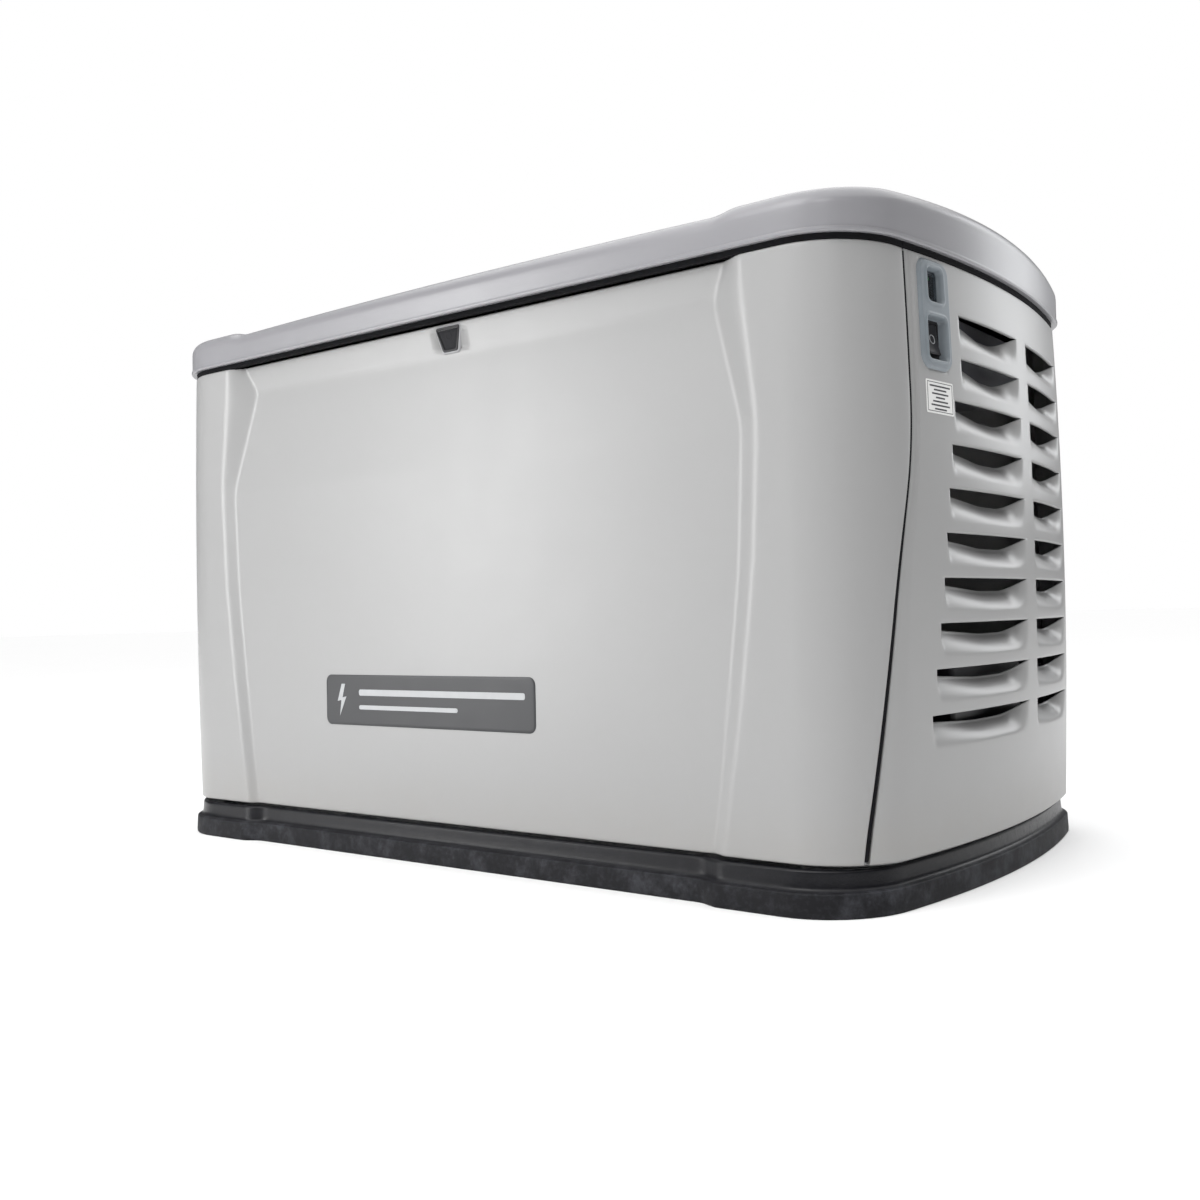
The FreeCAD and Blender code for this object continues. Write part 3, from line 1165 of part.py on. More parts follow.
def exhaust_pipes():
    """Straight pipe from each head to the muffler's inlet."""
    pipes = []
    for side, x in BANKS:
        _, y, z = head_port(side, x)
        start = x - 22
        pipe_solid = rod(PIPE_R - FIT, (start, y, z), (MUFFLER_INLET_X, y, z))
        bore = rod(PIPE_R - PIPE_WALL, (start + 1, y, z), (MUFFLER_INLET_X - 1, y, z))
        pipes.append(pipe_solid.cut(bore))
    return pipes


def divider(x, holes):
    """Sheet divider across the enclosure."""
    sheet = box((x, x + DIVIDER_T), (-DIVIDER_HALF, DIVIDER_HALF),
                (TRAY_TOP_Z, FRAME_Z))
    flange = box((x, x + DIVIDER_FOOT), (-DIVIDER_HALF, DIVIDER_HALF),
                 (TRAY_TOP_Z, TRAY_TOP_Z + DIVIDER_T))
    return fuse([sheet, flange]).cut(Part.Compound(holes))


def left_divider():
    x = LEFT_DIVIDER_X
    holes = [rod(PIPE_R + 6, (x - 5, head_port(s, 0)[1], MUFFLER_Z), (x + 10, head_port(s, 0)[1], MUFFLER_Z))
             for s in (-1, 1)]
    holes.append(rod(96, (x - 5, 0, CRANK_Z), (x + 10, 0, CRANK_Z)))
    return divider(x, holes)


def right_divider():
    x = RIGHT_DIVIDER_X
    holes = [box((x - 5, x + 10), (-110, -20), (300, 480)),
             rod(HOSE_R + 3, (x - 5, HOSE_Y, HOSE_Z), (x + 10, HOSE_Y, HOSE_Z)),
             box((x - 5, x + 25), (HOSE_Y + 70, HOSE_Y + 110), (PAD_TOP_Z, TRAY_TOP_Z + 50))]
    return divider(x, holes)


# ---------------------------------------------------------------- fuel, battery, controls

def fuel_regulator():
    """Demand regulator with its round diaphragm housing, fixed to the right divider."""
    case = rounded_block(REGULATOR_X, REGULATOR_Y, REGULATOR_Z, 10.0, X_AXIS)
    y = sum(REGULATOR_Y) / 2
    z = sum(REGULATOR_Z) / 2
    dome = rod(38, (REGULATOR_X[1], y, z), (REGULATOR_X[1] + 14, y, z))
    outlet = rod(HOSE_R + 2, (FUEL_X, REGULATOR_Y[0] - 12, z), (FUEL_X, REGULATOR_Y[0] + 1, z))
    return fuse([case, dome, outlet])


def fuel_inlet():
    """Threaded inlet at the back and the pipe up to the regulator."""
    y = sum(REGULATOR_Y) / 2
    end = PAD_HALF_WIDTH - 1
    route = [(FUEL_X, end - 37, FUEL_Z), (FUEL_X, y, FUEL_Z), (FUEL_X, y, REGULATOR_Z[0])]
    pipe_up = pipe(FUEL_PIPE_R, route)
    socket = rod(FUEL_R, (FUEL_X, end - 38, FUEL_Z), (FUEL_X, end, FUEL_Z))
    bore = rod(FUEL_BORE_R, (FUEL_X, end - FUEL_BORE_L, FUEL_Z), (FUEL_X, end + 1, FUEL_Z))
    return fuse([pipe_up, socket]).cut(bore)


def fuel_hose():
    """Hose from the regulator to the mixer."""
    z = sum(REGULATOR_Z) / 2
    x = MIXER_X
    mixer_z = CRANK_Z + 210
    points = [(FUEL_X, REGULATOR_Y[0] - 12, z), (FUEL_X, HOSE_Y, z), (FUEL_X, HOSE_Y, HOSE_Z),
              (RIGHT_DIVIDER_X - 40, HOSE_Y, HOSE_Z), (x + 130, 0, mixer_z), (x + MIXER_R - 2, 0, mixer_z)]
    return pipe(HOSE_R, points).cut(rod(MIXER_R, (x, 0, mixer_z - 40), (x, 0, mixer_z + 40)))


def battery():
    """Battery case and its two posts."""
    low = TRAY_TOP_Z
    case = rounded_block(BATTERY_X, (-BATTERY_HALF, BATTERY_HALF), (low, low + BATTERY_H), 6.0, Z_AXIS)
    lid = box((BATTERY_X[0] + 30, BATTERY_X[1] - 12), (-70, 70),
              (low + BATTERY_H - 1, low + BATTERY_H + BATTERY_LID_H))
    post_x, top = BATTERY_X[0] + 18, low + BATTERY_H
    posts = [rod(9, (post_x, s * 78, top - 1), (post_x, s * 78, top + 16)) for s in (-1, 1)]
    return fuse([case, lid] + posts)


def battery_strap():
    """Strap over the battery, hooked to the tray."""
    low = TRAY_TOP_Z
    top = low + BATTERY_H + BATTERY_LID_H
    x = (BATTERY_X[0] + 70, BATTERY_X[0] + 100)
    y = BATTERY_HALF + CLEAR
    outer = box(x, (-y - STRAP_T, y + STRAP_T), (low, top + STRAP_T)).cut(
        box((x[0] - 1, x[1] + 1), (-y, y), (low - 1, top)))
    feet = [box(x, (y, y + 22), (low, low + STRAP_T)), box(x, (-y - 22, -y), (low, low + STRAP_T))]
    return fuse([outer] + feet)


def control_panel():
    """Control box on the right divider, with openings for its buttons, display and breaker."""
    x, y, z = PANEL_BOX_X, PANEL_BOX_Y, PANEL_BOX_Z
    w = PANEL_BOX_WALL
    shell = rounded_block(x, y, z, 6.0, Z_AXIS).cut(
        box((x[0] + w, x[1] - w), (y[0] + w, y[1] - w), (z[0] + w, z[1] - w)))
    cuts = [box(DISPLAY[:2], DISPLAY[2:], (z[1] - w - 1, z[1] + 1))]
    cuts += [rod(BUTTON_R + CLEAR, (bx, by, z[1] - w - 1), (bx, by, z[1] + 1)) for _, bx, by in buttons()]
    mid_x, mid_y = PANEL_MID_X, BREAKER_Y
    half = BREAKER_LEVER_W / 2 + 1
    cuts.append(box((mid_x - half, mid_x + half), (mid_y - 24, mid_y + 24), (z[1] - w - 1, z[1] + 1)))
    return shell.cut(Part.Compound(cuts))


def control_display():
    """Display window and the board that backs the buttons."""
    x, y, z = PANEL_BOX_X, PANEL_BOX_Y, PANEL_BOX_Z
    low = z[1] - PANEL_BOX_WALL
    glass = box((DISPLAY[0] + CLEAR, DISPLAY[1] - CLEAR), (DISPLAY[2] + CLEAR, DISPLAY[3] - CLEAR),
                (low - 5, z[1] - 1))
    board = box((x[0] + PANEL_BOX_WALL, x[1] - 30), (y[0] + 20, MODE_BUTTON_Y + 40),
                (low - BOARD_DROP - BOARD_T, low - BOARD_DROP))
    pillars = [rod(4, (DISPLAY[0] + 8, yy, low - BOARD_DROP - 1), (DISPLAY[0] + 8, yy, low - 4))
               for yy in (DISPLAY[2] + 10, DISPLAY[3] - 10)]
    return fuse([glass, board] + pillars)


def buttons():
    """Name and place of every button."""
    rows = [(("auto", "off", "manual"), MODE_BUTTON_STEP, MODE_BUTTON_Y),
            (("escape", "up", "down", "enter"), ARROW_BUTTON_STEP, ARROW_BUTTON_Y)]
    places = []
    for names, step, y in rows:
        first = PANEL_MID_X - step * (len(names) - 1) / 2
        places += [(name, first + k * step, y) for k, name in enumerate(names)]
    return places


def button(x, y):
    """Round push button with a collar under the panel."""
    top = PANEL_BOX_Z[1]
    collar_z = top - PANEL_BOX_WALL - CLEAR
    low = collar_z - BUTTON_COLLAR
    board = top - PANEL_BOX_WALL - BOARD_DROP
    cap = rod(BUTTON_R, (x, y, low), (x, y, top + BUTTON_H))
    collar = rod(BUTTON_R + 2, (x, y, low), (x, y, collar_z))
    stem = rod(2.5, (x, y, board + BUTTON_TRAVEL + CLEAR), (x, y, low + 1))
    return fuse([cap, collar, stem])


def main_breaker():
    """Breaker body under the panel with a slot for its lever."""
    low = PANEL_BOX_Z[1] - PANEL_BOX_WALL
    x = (PANEL_MID_X - BREAKER_SIZE[0] / 2, PANEL_MID_X + BREAKER_SIZE[0] / 2)
    y = (BREAKER_Y - BREAKER_SIZE[1] / 2, BREAKER_Y + BREAKER_SIZE[1] / 2)
    body = box(x, y, (PANEL_BOX_Z[0] + PANEL_BOX_WALL, low))
    mid_x, mid_y = PANEL_MID_X, BREAKER_Y
    half = BREAKER_LEVER_W / 2 + 1
    axis_z = low - LEVER_AXIS_DROP
    slot = box((mid_x - half, mid_x + half), (mid_y - 24, mid_y + 24),
               (axis_z - LEVER_AXIS_DROP - 4, low + 1))
    axle = rod(LEVER_PIN_R, (mid_x - half - 1, mid_y, axis_z), (mid_x + half + 1, mid_y, axis_z))
    return fuse([body.cut(slot), axle])


def breaker_lever():
    """Breaker lever on its axle, resting tipped to one side."""
    low = PANEL_BOX_Z[1] - PANEL_BOX_WALL
    mid_x, mid_y = PANEL_MID_X, BREAKER_Y
    z = low - LEVER_AXIS_DROP
    half = BREAKER_LEVER_W / 2
    hub = rod(8, (mid_x - half, mid_y, z), (mid_x + half, mid_y, z))
    arm = box((mid_x - half, mid_x + half), (mid_y - 4, mid_y + 4), (z, z + 32))
    lever = fuse([hub, arm])
    lever.rotate(V(mid_x, mid_y, z), X_AXIS, LEVER_LEAN)
    return lever.cut(rod(LEVER_PIN_R + FIT, (mid_x - 20, mid_y, z), (mid_x + 20, mid_y, z)))


def build():
    """Build every piece and write it."""
    os.makedirs("parts", exist_ok=True)
    pieces = {
        "base_pad": [base_pad()],
        "base_tray": [base_tray()],
        "corner_posts": corner_posts(),
        "upper_frame": [upper_frame()],
        "front_panel": [front_panel()],
        "right_side_panel": [end_panel(True)],
        "left_side_panel": [mirrored(end_panel(False))],
        "rear_panel": [rear_panel()],
        "hex_bolts": panel_screws() + stator_bolts(),
        "lid_shell": [lid_shell()],
        "lid_seal": [frame_ring(SEAL_INSET, SEAL_WIDTH, FRAME_Z + FRAME_H, LID_LIP_Z - CLEAR)],
        "lid_hinge_leaves": lid_hinge_leaves(),
        "lid_hinge_brackets": lid_hinge_brackets(),
        "lid_hinge_pins": lid_hinge_pins(),
        "lock_housing": [lock_housing()],
        "lock_cylinder": [lock_cylinder()],
        "lock_cover": [lock_cover()],
        "control_bezel": [control_bezel()],
        "status_lens": [status_lens()],
        "status_lights": [status_lights()],
        "shutdown_switch": [shutdown_switch()],
        "rating_label": [rating_label()],
        "name_plate": [name_plate()],
        "crankcase": [crankcase()],
        "cylinders": cylinders(),
        "cylinder_heads": cylinder_heads(),
        "rocker_covers": rocker_covers(),
        "spark_plugs": spark_plugs(),
        "crankshaft": [crankshaft()],
        "flywheel_fan": [flywheel_fan()],
        "blower_housing": [blower_housing()],
        "starter_motor": [starter_motor()],
        "oil_filter": [oil_filter()],
        "oil_dipstick": [oil_dipstick()],
        "intake_mixer": [intake_mixer()],
        "air_cleaner": [air_cleaner()],
        "muffler": [muffler()],
        "exhaust_pipes": exhaust_pipes(),
        "stator": [stator()],
        "rotor": [rotor()],
        "bearing_carrier": [bearing_carrier()],
        "engine_mounts": engine_mounts(),
        "left_divider": [left_divider()],
        "right_divider": [right_divider()],
        "fuel_regulator": [fuel_regulator()],
        "fuel_inlet": [fuel_inlet()],
        "fuel_hose": [fuel_hose()],
        "battery": [battery()],
        "battery_strap": [battery_strap()],
        "control_panel": [control_panel()],
        "control_display": [control_display()],
        "main_breaker": [main_breaker()],
        "breaker_lever": [breaker_lever()],
    }
    for name, x, y in buttons():
        pieces[f"{name}_button"] = [button(x, y)]
    for name, shapes in pieces.items():
        solids = export(name, shapes)
        print(name, len(solids), round(sum(s.Volume for s in solids)), all(s.isValid() for s in solids))


build()
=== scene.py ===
import functools
import json
import math

import bmesh
import bpy
from bpy.props import FloatProperty, FloatVectorProperty, PointerProperty
from mathutils import Matrix, Vector


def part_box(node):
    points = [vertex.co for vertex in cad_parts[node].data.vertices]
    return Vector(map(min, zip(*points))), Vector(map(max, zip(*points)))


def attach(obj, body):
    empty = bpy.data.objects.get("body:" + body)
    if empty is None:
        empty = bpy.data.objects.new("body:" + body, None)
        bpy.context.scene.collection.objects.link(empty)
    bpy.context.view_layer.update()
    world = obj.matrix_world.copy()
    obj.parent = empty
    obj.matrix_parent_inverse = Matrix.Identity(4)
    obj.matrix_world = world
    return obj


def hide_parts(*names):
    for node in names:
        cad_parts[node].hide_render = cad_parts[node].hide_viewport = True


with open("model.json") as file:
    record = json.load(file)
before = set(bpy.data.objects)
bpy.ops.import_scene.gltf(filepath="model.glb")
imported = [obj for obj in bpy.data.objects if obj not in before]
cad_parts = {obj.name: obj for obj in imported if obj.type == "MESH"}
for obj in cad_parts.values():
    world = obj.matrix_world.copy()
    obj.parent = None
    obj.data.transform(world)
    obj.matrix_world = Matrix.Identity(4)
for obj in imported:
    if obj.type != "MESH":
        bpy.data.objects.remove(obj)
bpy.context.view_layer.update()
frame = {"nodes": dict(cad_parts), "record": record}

bl_info = {
    "name": "Home Standby Generator",
    "version": (1, 0, 0),
    "blender": (4, 5, 0),
    "location": "View3D > Sidebar > Generator",
    "description": "Builds the finished panels, lid, pad and fittings of a home standby generator",
    "category": "Object",
}

MM = 0.001


# ---------------------------------------------------------------- the cabinet's plan and walls

class Plan:
    """Outline seen from above: straight front and back, round corners and bowed ends."""

    def __init__(self, half_length, half_width, corner_r, bow_r):
        self.half_width, self.corner_r, self.bow_r = half_width, corner_r, bow_r
        self.bow_x = half_length - bow_r
        self.corner_y = half_width - corner_r
        reach = bow_r - corner_r
        self.corner_x = self.bow_x + math.sqrt(reach ** 2 - self.corner_y ** 2)
        self.bow_angle = math.asin(self.corner_y / reach)
        corner_run = corner_r * (math.pi / 2 - self.bow_angle)
        front = self.corner_x
        self.marks = (front, front + corner_run, front + corner_run + 2 * bow_r * self.bow_angle)
        self.half_round = self.marks[2] + corner_run + self.corner_x

    def at(self, s):
        """Point and outward direction at a distance round from the middle of the front."""
        if abs(s) > self.half_round:
            x, y, nx, ny = self.at(2 * self.half_round - abs(s))
            side = -1 if s > 0 else 1
            return side * x, y, side * nx, ny
        if s < 0:
            x, y, nx, ny = self.at(-s)
            return -x, y, -nx, ny
        front, corner, bow = self.marks
        if s <= front:
            return s, -self.half_width, 0.0, -1.0
        if s <= corner:
            turn = (s - front) / self.corner_r - math.pi / 2
            centre, radius = (self.corner_x, -self.corner_y), self.corner_r
        elif s <= bow:
            turn = (s - corner) / self.bow_r - self.bow_angle
            centre, radius = (self.bow_x, 0.0), self.bow_r
        elif s <= self.half_round - self.corner_x:
            turn = (s - bow) / self.corner_r + self.bow_angle
            centre, radius = (self.corner_x, self.corner_y), self.corner_r
        else:
            return self.half_round - s, self.half_width, 0.0, 1.0
        nx, ny = math.cos(turn), math.sin(turn)
        return centre[0] + radius * nx, centre[1] + radius * ny, nx, ny

    def along(self, y):
        """Distance round to the place on the right end that lies at y."""
        front, corner, bow = self.marks
        if abs(y) <= self.bow_r * math.sin(self.bow_angle):
            return corner + self.bow_r * (math.asin(y / self.bow_r) + self.bow_angle)
        if y < 0:
            return front + self.corner_r * (math.asin((y + self.corner_y) / self.corner_r) + math.pi / 2)
        return bow + self.corner_r * (math.asin((y - self.corner_y) / self.corner_r) - self.bow_angle)


def ramp(t, soft_in=0.2, soft_out=0.2):
    """Straight rise from 0 to 1 with rounded ends."""
    t = min(max(t, 0.0), 1.0)
    scale = 1 - (soft_in + soft_out) / 2
    if t < soft_in:
        return t * t / (2 * soft_in) / scale
    if t > 1 - soft_out:
        return 1 - (1 - t) ** 2 / (2 * soft_out) / scale
    return (t - soft_in / 2) / scale


def soft_line(points, soft):
    """Function through (place, value) points, with its corners rounded over a distance."""
    samples = 9

    def straight(at):
        if at <= points[0][0]:
            return points[0][1]
        for (a, low), (b, high) in zip(points, points[1:]):
            if at <= b:
                return low + (high - low) * (at - a) / (b - a)
        return points[-1][1]

    @functools.lru_cache(maxsize=None)
    def value(at):
        shifts = [soft * (2 * k / (samples - 1) - 1) for k in range(samples)]
        return sum(straight(at + shift) for shift in shifts) / samples

    return value


PANEL_LOW, PANEL_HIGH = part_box("front_panel")
HALF_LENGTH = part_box("right_side_panel")[1].x
HALF_WIDTH = -PANEL_LOW.y
HEM_Z, TOP_Z = PANEL_LOW.z, PANEL_HIGH.z
CORNER_R = 95 * MM
BOW_R = 1220 * MM
BODY = Plan(HALF_LENGTH, HALF_WIDTH, CORNER_R, BOW_R)
SWELL = 3 * MM
SWELL_Z = 385 * MM
SWELL_RATE = 0.074
SHEET = 1.8 * MM
FLANGE = 14 * MM
SEAM_GAP = 4.2 * MM
REAR_SEAM_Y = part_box("right_side_panel")[1].y
SEAM_Y = soft_line([(HEM_Z - 10 * MM, 22 * MM - HALF_WIDTH), (TOP_Z - 320 * MM, 62 * MM - HALF_WIDTH),
                    (TOP_Z - 200 * MM, 88 * MM - HALF_WIDTH), (TOP_Z, 88 * MM - HALF_WIDTH)], 45 * MM)


def skin(s, z, inset=0.0):
    """Point of the cabinet wall, drawn in by an inset; the ends swell a little at mid height."""
    x, y, nx, ny = BODY.at(s)
    out = (SWELL - SWELL_RATE * (z - SWELL_Z) ** 2) * abs(nx) - inset
    return Vector((x + nx * out, y + ny * out, z))


def fold(radius, depth, steps=4):
    """Section of a folded edge as (distance from the edge, inset), from the face inwards."""
    turns = [math.pi / 2 * k / steps for k in range(steps + 1)]
    return [(radius * (1 - math.sin(a)), radius * (1 - math.cos(a))) for a in turns] + [(0.0, depth)]


def spread(low, high, step):
    """Even places from low to high, about a step apart."""
    count = max(1, round((high - low) / step))
    return [low + (high - low) * k / count for k in range(count + 1)]


def across(low, high, fixed, spare, section):
    """Places across a sheet as (distance, inset): a fold at each limit, fixed places between."""
    radius = section[0][0]
    left = spread(low + radius, fixed[0], (fixed[0] - low - radius) / spare)[1:-1]
    right = spread(fixed[-1], high - radius, (high - radius - fixed[-1]) / spare)[1:-1]
    return ([(low + e, inset) for e, inset in reversed(section)]
            + [(s, 0.0) for s in left + fixed + right]
            + [(high - e, inset) for e, inset in section])


# ---------------------------------------------------------------- mesh work

def join_rows(mesh, rows, closed=False):
    """Quads between rows of points, from the top down; a row marked False starts a new strip."""
    above = None
    for points, joined in rows:
        row = [mesh.verts.new(p) for p in points]
        if closed:
            row.append(row[0])
        if above and joined:
            for k in range(len(row) - 1):
                corners = (above[k], row[k], row[k + 1], above[k + 1])
                if len(set(corners)) > 2:
                    mesh.faces.new(list(dict.fromkeys(corners)))
        above = row
    return above


def clean(mesh):
    """Merge points that coincide and drop what they leave empty."""
    tiny = 0.01 * MM
    bmesh.ops.remove_doubles(mesh, verts=mesh.verts, dist=tiny)
    bmesh.ops.dissolve_degenerate(mesh, edges=mesh.edges, dist=tiny)
    bmesh.ops.delete(mesh, geom=[v for v in mesh.verts if not v.link_faces], context="VERTS")


def cut_opening(mesh, inside):
    """Remove the faces whose middles lie inside an opening."""
    faces = [f for f in mesh.faces if inside(f.calc_center_median())]
    bmesh.ops.delete(mesh, geom=faces, context="FACES")


def close_up(mesh):
    """Cap what is still open and turn every face outwards."""
    bmesh.ops.holes_fill(mesh, edges=[e for e in mesh.edges if e.is_boundary], sides=0)
    bmesh.ops.recalc_face_normals(mesh, faces=mesh.faces)


def piece(name, mesh, body, finish, replaces=(), sheet=0.0, sharp=38.0):
    """Turn a bmesh into a named piece that rides on a body, with a finish and stands for its nodes."""
    data = bpy.data.meshes.new(name)
    mesh.to_mesh(data)
    mesh.free()
    data.shade_smooth()
    data.set_sharp_from_angle(angle=math.radians(sharp))
    made = bpy.data.objects.new(name, data)
    bpy.context.scene.collection.objects.link(made)
    data.materials.append(finish)
    if sheet:
        wall = made.modifiers.new("Sheet thickness", "SOLIDIFY")
        wall.thickness, wall.offset = sheet, -1.0
        wall.use_quality_normals = True
    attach(made, body)
    if replaces:
        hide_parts(*replaces)
    return made


class Outline:
    """Convex outline with rounded corners, in the plane of a face."""

    def __init__(self, points, radius):
        self.points, self.radius = points, radius
        self.sides = []
        for (a0, b0), (a1, b1) in zip(points, points[1:] + points[:1]):
            length = math.hypot(a1 - a0, b1 - b0)
            self.sides.append(((b1 - b0) / length, (a0 - a1) / length, a0, b0))

    def distance(self, a, b):
        """How far a place lies outside the outline, or minus how far inside."""
        gaps = sorted(na * (a - a0) + nb * (b - b0) for na, nb, a0, b0 in self.sides)
        first, second = gaps[-1] + self.radius, gaps[-2] + self.radius
        if second > 0:
            return math.hypot(first, second) - self.radius
        return first - self.radius

    def onto(self, a, b):
        """The place itself, or the nearest one on the outline if it lies outside."""
        tiny = 0.02 * MM
        for _ in range(3):
            gap = self.distance(a, b)
            if gap <= 0:
                return a, b
            da = (self.distance(a + tiny, b) - gap) / tiny
            db = (self.distance(a, b + tiny) - gap) / tiny
            size = max(math.hypot(da, db), 0.1)
            a, b = a - gap * da / size, b - gap * db / size
        return a, b


def rectangle(half, low, high, radius, middle=0.0):
    """Upright rounded rectangle outline."""
    points = [(middle - half, low), (middle + half, low), (middle + half, high), (middle - half, high)]
    return Outline(points, radius)


def step_in(distance, width):
    """0 on an outline and outside it, rising to 1 at a width inside it."""
    return ramp(-distance / width, 0.45, 0.45)


def plate(outline, step, height, place, back):
    """Moulded plate: a fine grid inside an outline, lifted by a height function, with a flat back."""
    mesh = bmesh.new()
    a_limits = [a for a, _ in outline.points]
    b_limits = [b for _, b in outline.points]
    rows = []
    for b in reversed(spread(min(b_limits), max(b_limits), step)):
        row = [outline.onto(a, b) for a in spread(min(a_limits), max(a_limits), step)]
        rows.append(([place(a, b, height(a, b)) for a, b in row], True))
    join_rows(mesh, rows)
    clean(mesh)
    rim = [e for e in mesh.edges if e.is_boundary]
    grown = bmesh.ops.extrude_edge_only(mesh, edges=rim)["geom"]
    inwards = place(0.0, 0.0, 0.0) - place(0.0, 0.0, back)
    for v in grown:
        if isinstance(v, bmesh.types.BMVert):
            v.co -= inwards
    close_up(mesh)
    return mesh


# ---------------------------------------------------------------- shader work

class Wire:
    """Output of a shader node that can be used in sums."""

    def __init__(self, finish, socket):
        self.finish, self.socket = finish, socket

    def maths(self, operation, first, second):
        return self.finish.node("ShaderNodeMath", {"operation": operation}, {0: first, 1: second})

    def __add__(self, other):
        return self.maths("ADD", self, other)

    __radd__ = __add__

    def __sub__(self, other):
        return self.maths("SUBTRACT", self, other)

    def __rsub__(self, other):
        return self.maths("SUBTRACT", other, self)

    def __mul__(self, other):
        return self.maths("MULTIPLY", self, other)

    __rmul__ = __mul__

    def __truediv__(self, other):
        return self.maths("DIVIDE", self, other)

    def __pow__(self, other):
        return self.maths("POWER", self, other)


class Finish:
    """A material under construction: its shader and the nodes that feed it."""

    def __init__(self, name, **constants):
        self.material = bpy.data.materials.new(name)
        self.material.use_nodes = True
        self.tree = self.material.node_tree
        self.shader = self.tree.nodes["Principled BSDF"]
        self.feed(**constants)

    def feed(self, **inputs):
        """Set or link the shader's sockets, named with underscores for spaces."""
        for name, value in inputs.items():
            self.plug(self.shader.inputs[name.replace("_", " ")], value)

    def plug(self, socket, value):
        if isinstance(value, Wire):
            self.tree.links.new(value.socket, socket)
        elif socket.type == "RGBA":
            socket.default_value = (*value[:3], 1.0)
        else:
            socket.default_value = value

    def node(self, kind, settings=None, inputs=None, output=0):
        """Add a node: its settings first, then the values or links of its sockets."""
        made = self.tree.nodes.new(kind)
        for name, value in (settings or {}).items():
            if name == "stops":
                for stop, (place, shade) in zip(made.color_ramp.elements, value):
                    stop.position, stop.color = place, (shade, shade, shade, 1.0)
            else:
                setattr(made, name, value)
        for key, value in (inputs or {}).items():
            self.plug(made.inputs[key], value)
        return Wire(self, made.outputs[output])

    def place(self, stretch=(1.0, 1.0, 1.0)):
        """Position on the object in metres, stretched along its axes."""
        spot = self.node("ShaderNodeTexCoord", output="Object")
        return self.node("ShaderNodeVectorMath", {"operation": "MULTIPLY"}, {0: spot, 1: stretch})

    def height(self, axis="Z"):
        """One coordinate of the position, in metres."""
        return self.node("ShaderNodeSeparateXYZ", inputs={0: self.place()}, output=axis)

    def noise(self, size, detail=2.0, rough=0.5, stretch=(1.0, 1.0, 1.0)):
        """Soft random pattern with features of about the given size in metres."""
        return self.node("ShaderNodeTexNoise", inputs={"Vector": self.place(stretch), "Scale": 1 / size,
                                                       "Detail": detail, "Roughness": rough})

    def window(self, value, low, high):
        """0 below low and 1 above high, with a soft rise between."""
        return self.node("ShaderNodeMapRange", {"interpolation_type": "SMOOTHSTEP"},
                         {"Value": value, "From Min": low, "From Max": high})

    def blend(self, factor, first, second):
        """Mix of two colours."""
        return self.node("ShaderNodeMix", {"data_type": "RGBA"}, {0: factor, 6: first, 7: second}, 2)

    def bump(self, height, distance, strength=1.0):
        """Raise the surface by a pattern and feed the shader's normal."""
        raised = self.node("ShaderNodeBump", inputs={"Height": height, "Distance": distance,
                                                     "Strength": strength})
        self.feed(Normal=raised)


def shade(colour, factor):
    """A colour made darker or lighter."""
    return tuple(min(1.0, c * factor) for c in colour[:3])


def powder_coat(name, colour, roughness=0.33, grime=0.0):
    """Baked powder paint with fine orange peel, a soft cloudiness and dust near its foot."""
    made = Finish(name, Specular_IOR_Level=0.5)
    cloud = made.noise(0.35, 3.0)
    paint = made.blend(cloud, shade(colour, 0.975), shade(colour, 1.02))
    dust = made.noise(0.03, 6.0, 0.6) * (1 - made.window(made.height(), 0.05, 0.13)) * grime
    made.feed(Base_Color=made.blend(dust, paint, (0.33, 0.31, 0.28)),
              Roughness=roughness + 0.06 * (made.noise(0.05, 4.0) - 0.5) + dust * 0.2)
    made.bump(made.noise(0.0018, 2.0), 0.00006, 0.6)
    return made.material


def pad_composite(name, colour):
    """Rough dusty flange below, a cleaner moulded top with a soft shine above."""
    made = Finish(name, Specular_IOR_Level=0.24)
    flange = 1 - made.window(made.height(), 0.0245, 0.0275)
    coarse = made.window(made.noise(0.035, 7.0, 0.68), 0.42, 0.72)
    fine = made.window(made.noise(0.006, 4.0, 0.6), 0.45, 0.75)
    dust = (coarse * 0.6 + fine * 0.25) * (flange * 0.8 + 0.12)
    made.feed(Base_Color=made.blend(dust, colour, (0.06, 0.062, 0.072)),
              Roughness=0.3 + flange * 0.32 + fine * 0.12)
    made.bump(made.noise(0.0022, 5.0, 0.7) + coarse * 0.4, 0.0003, 0.7)
    return made.material


def moulded(name, colour, roughness=0.45, grain=0.0009, depth=0.00004, shine=0.5):
    """Moulded plastic with a fine spark-eroded grain and handling marks."""
    made = Finish(name, Specular_IOR_Level=shine)
    wear = made.noise(0.02, 5.0, 0.6)
    made.feed(Base_Color=made.blend(wear, shade(colour, 0.9), shade(colour, 1.12)),
              Roughness=roughness + 0.12 * (wear - 0.5))
    made.bump(made.noise(grain, 2.0), depth, 0.8)
    return made.material


def rubber(name, colour, pores=0.0012, depth=0.00012):
    """Matt rubber or closed-cell foam with fine pores and a dusty bloom."""
    made = Finish(name, Specular_IOR_Level=0.12)
    bloom = made.noise(0.018, 5.0, 0.65)
    made.feed(Base_Color=made.blend(bloom, shade(colour, 0.8), shade(colour, 1.6)),
              Roughness=0.78 + 0.12 * bloom)
    made.bump(made.noise(pores, 3.0, 0.6), depth, 0.8)
    return made.material


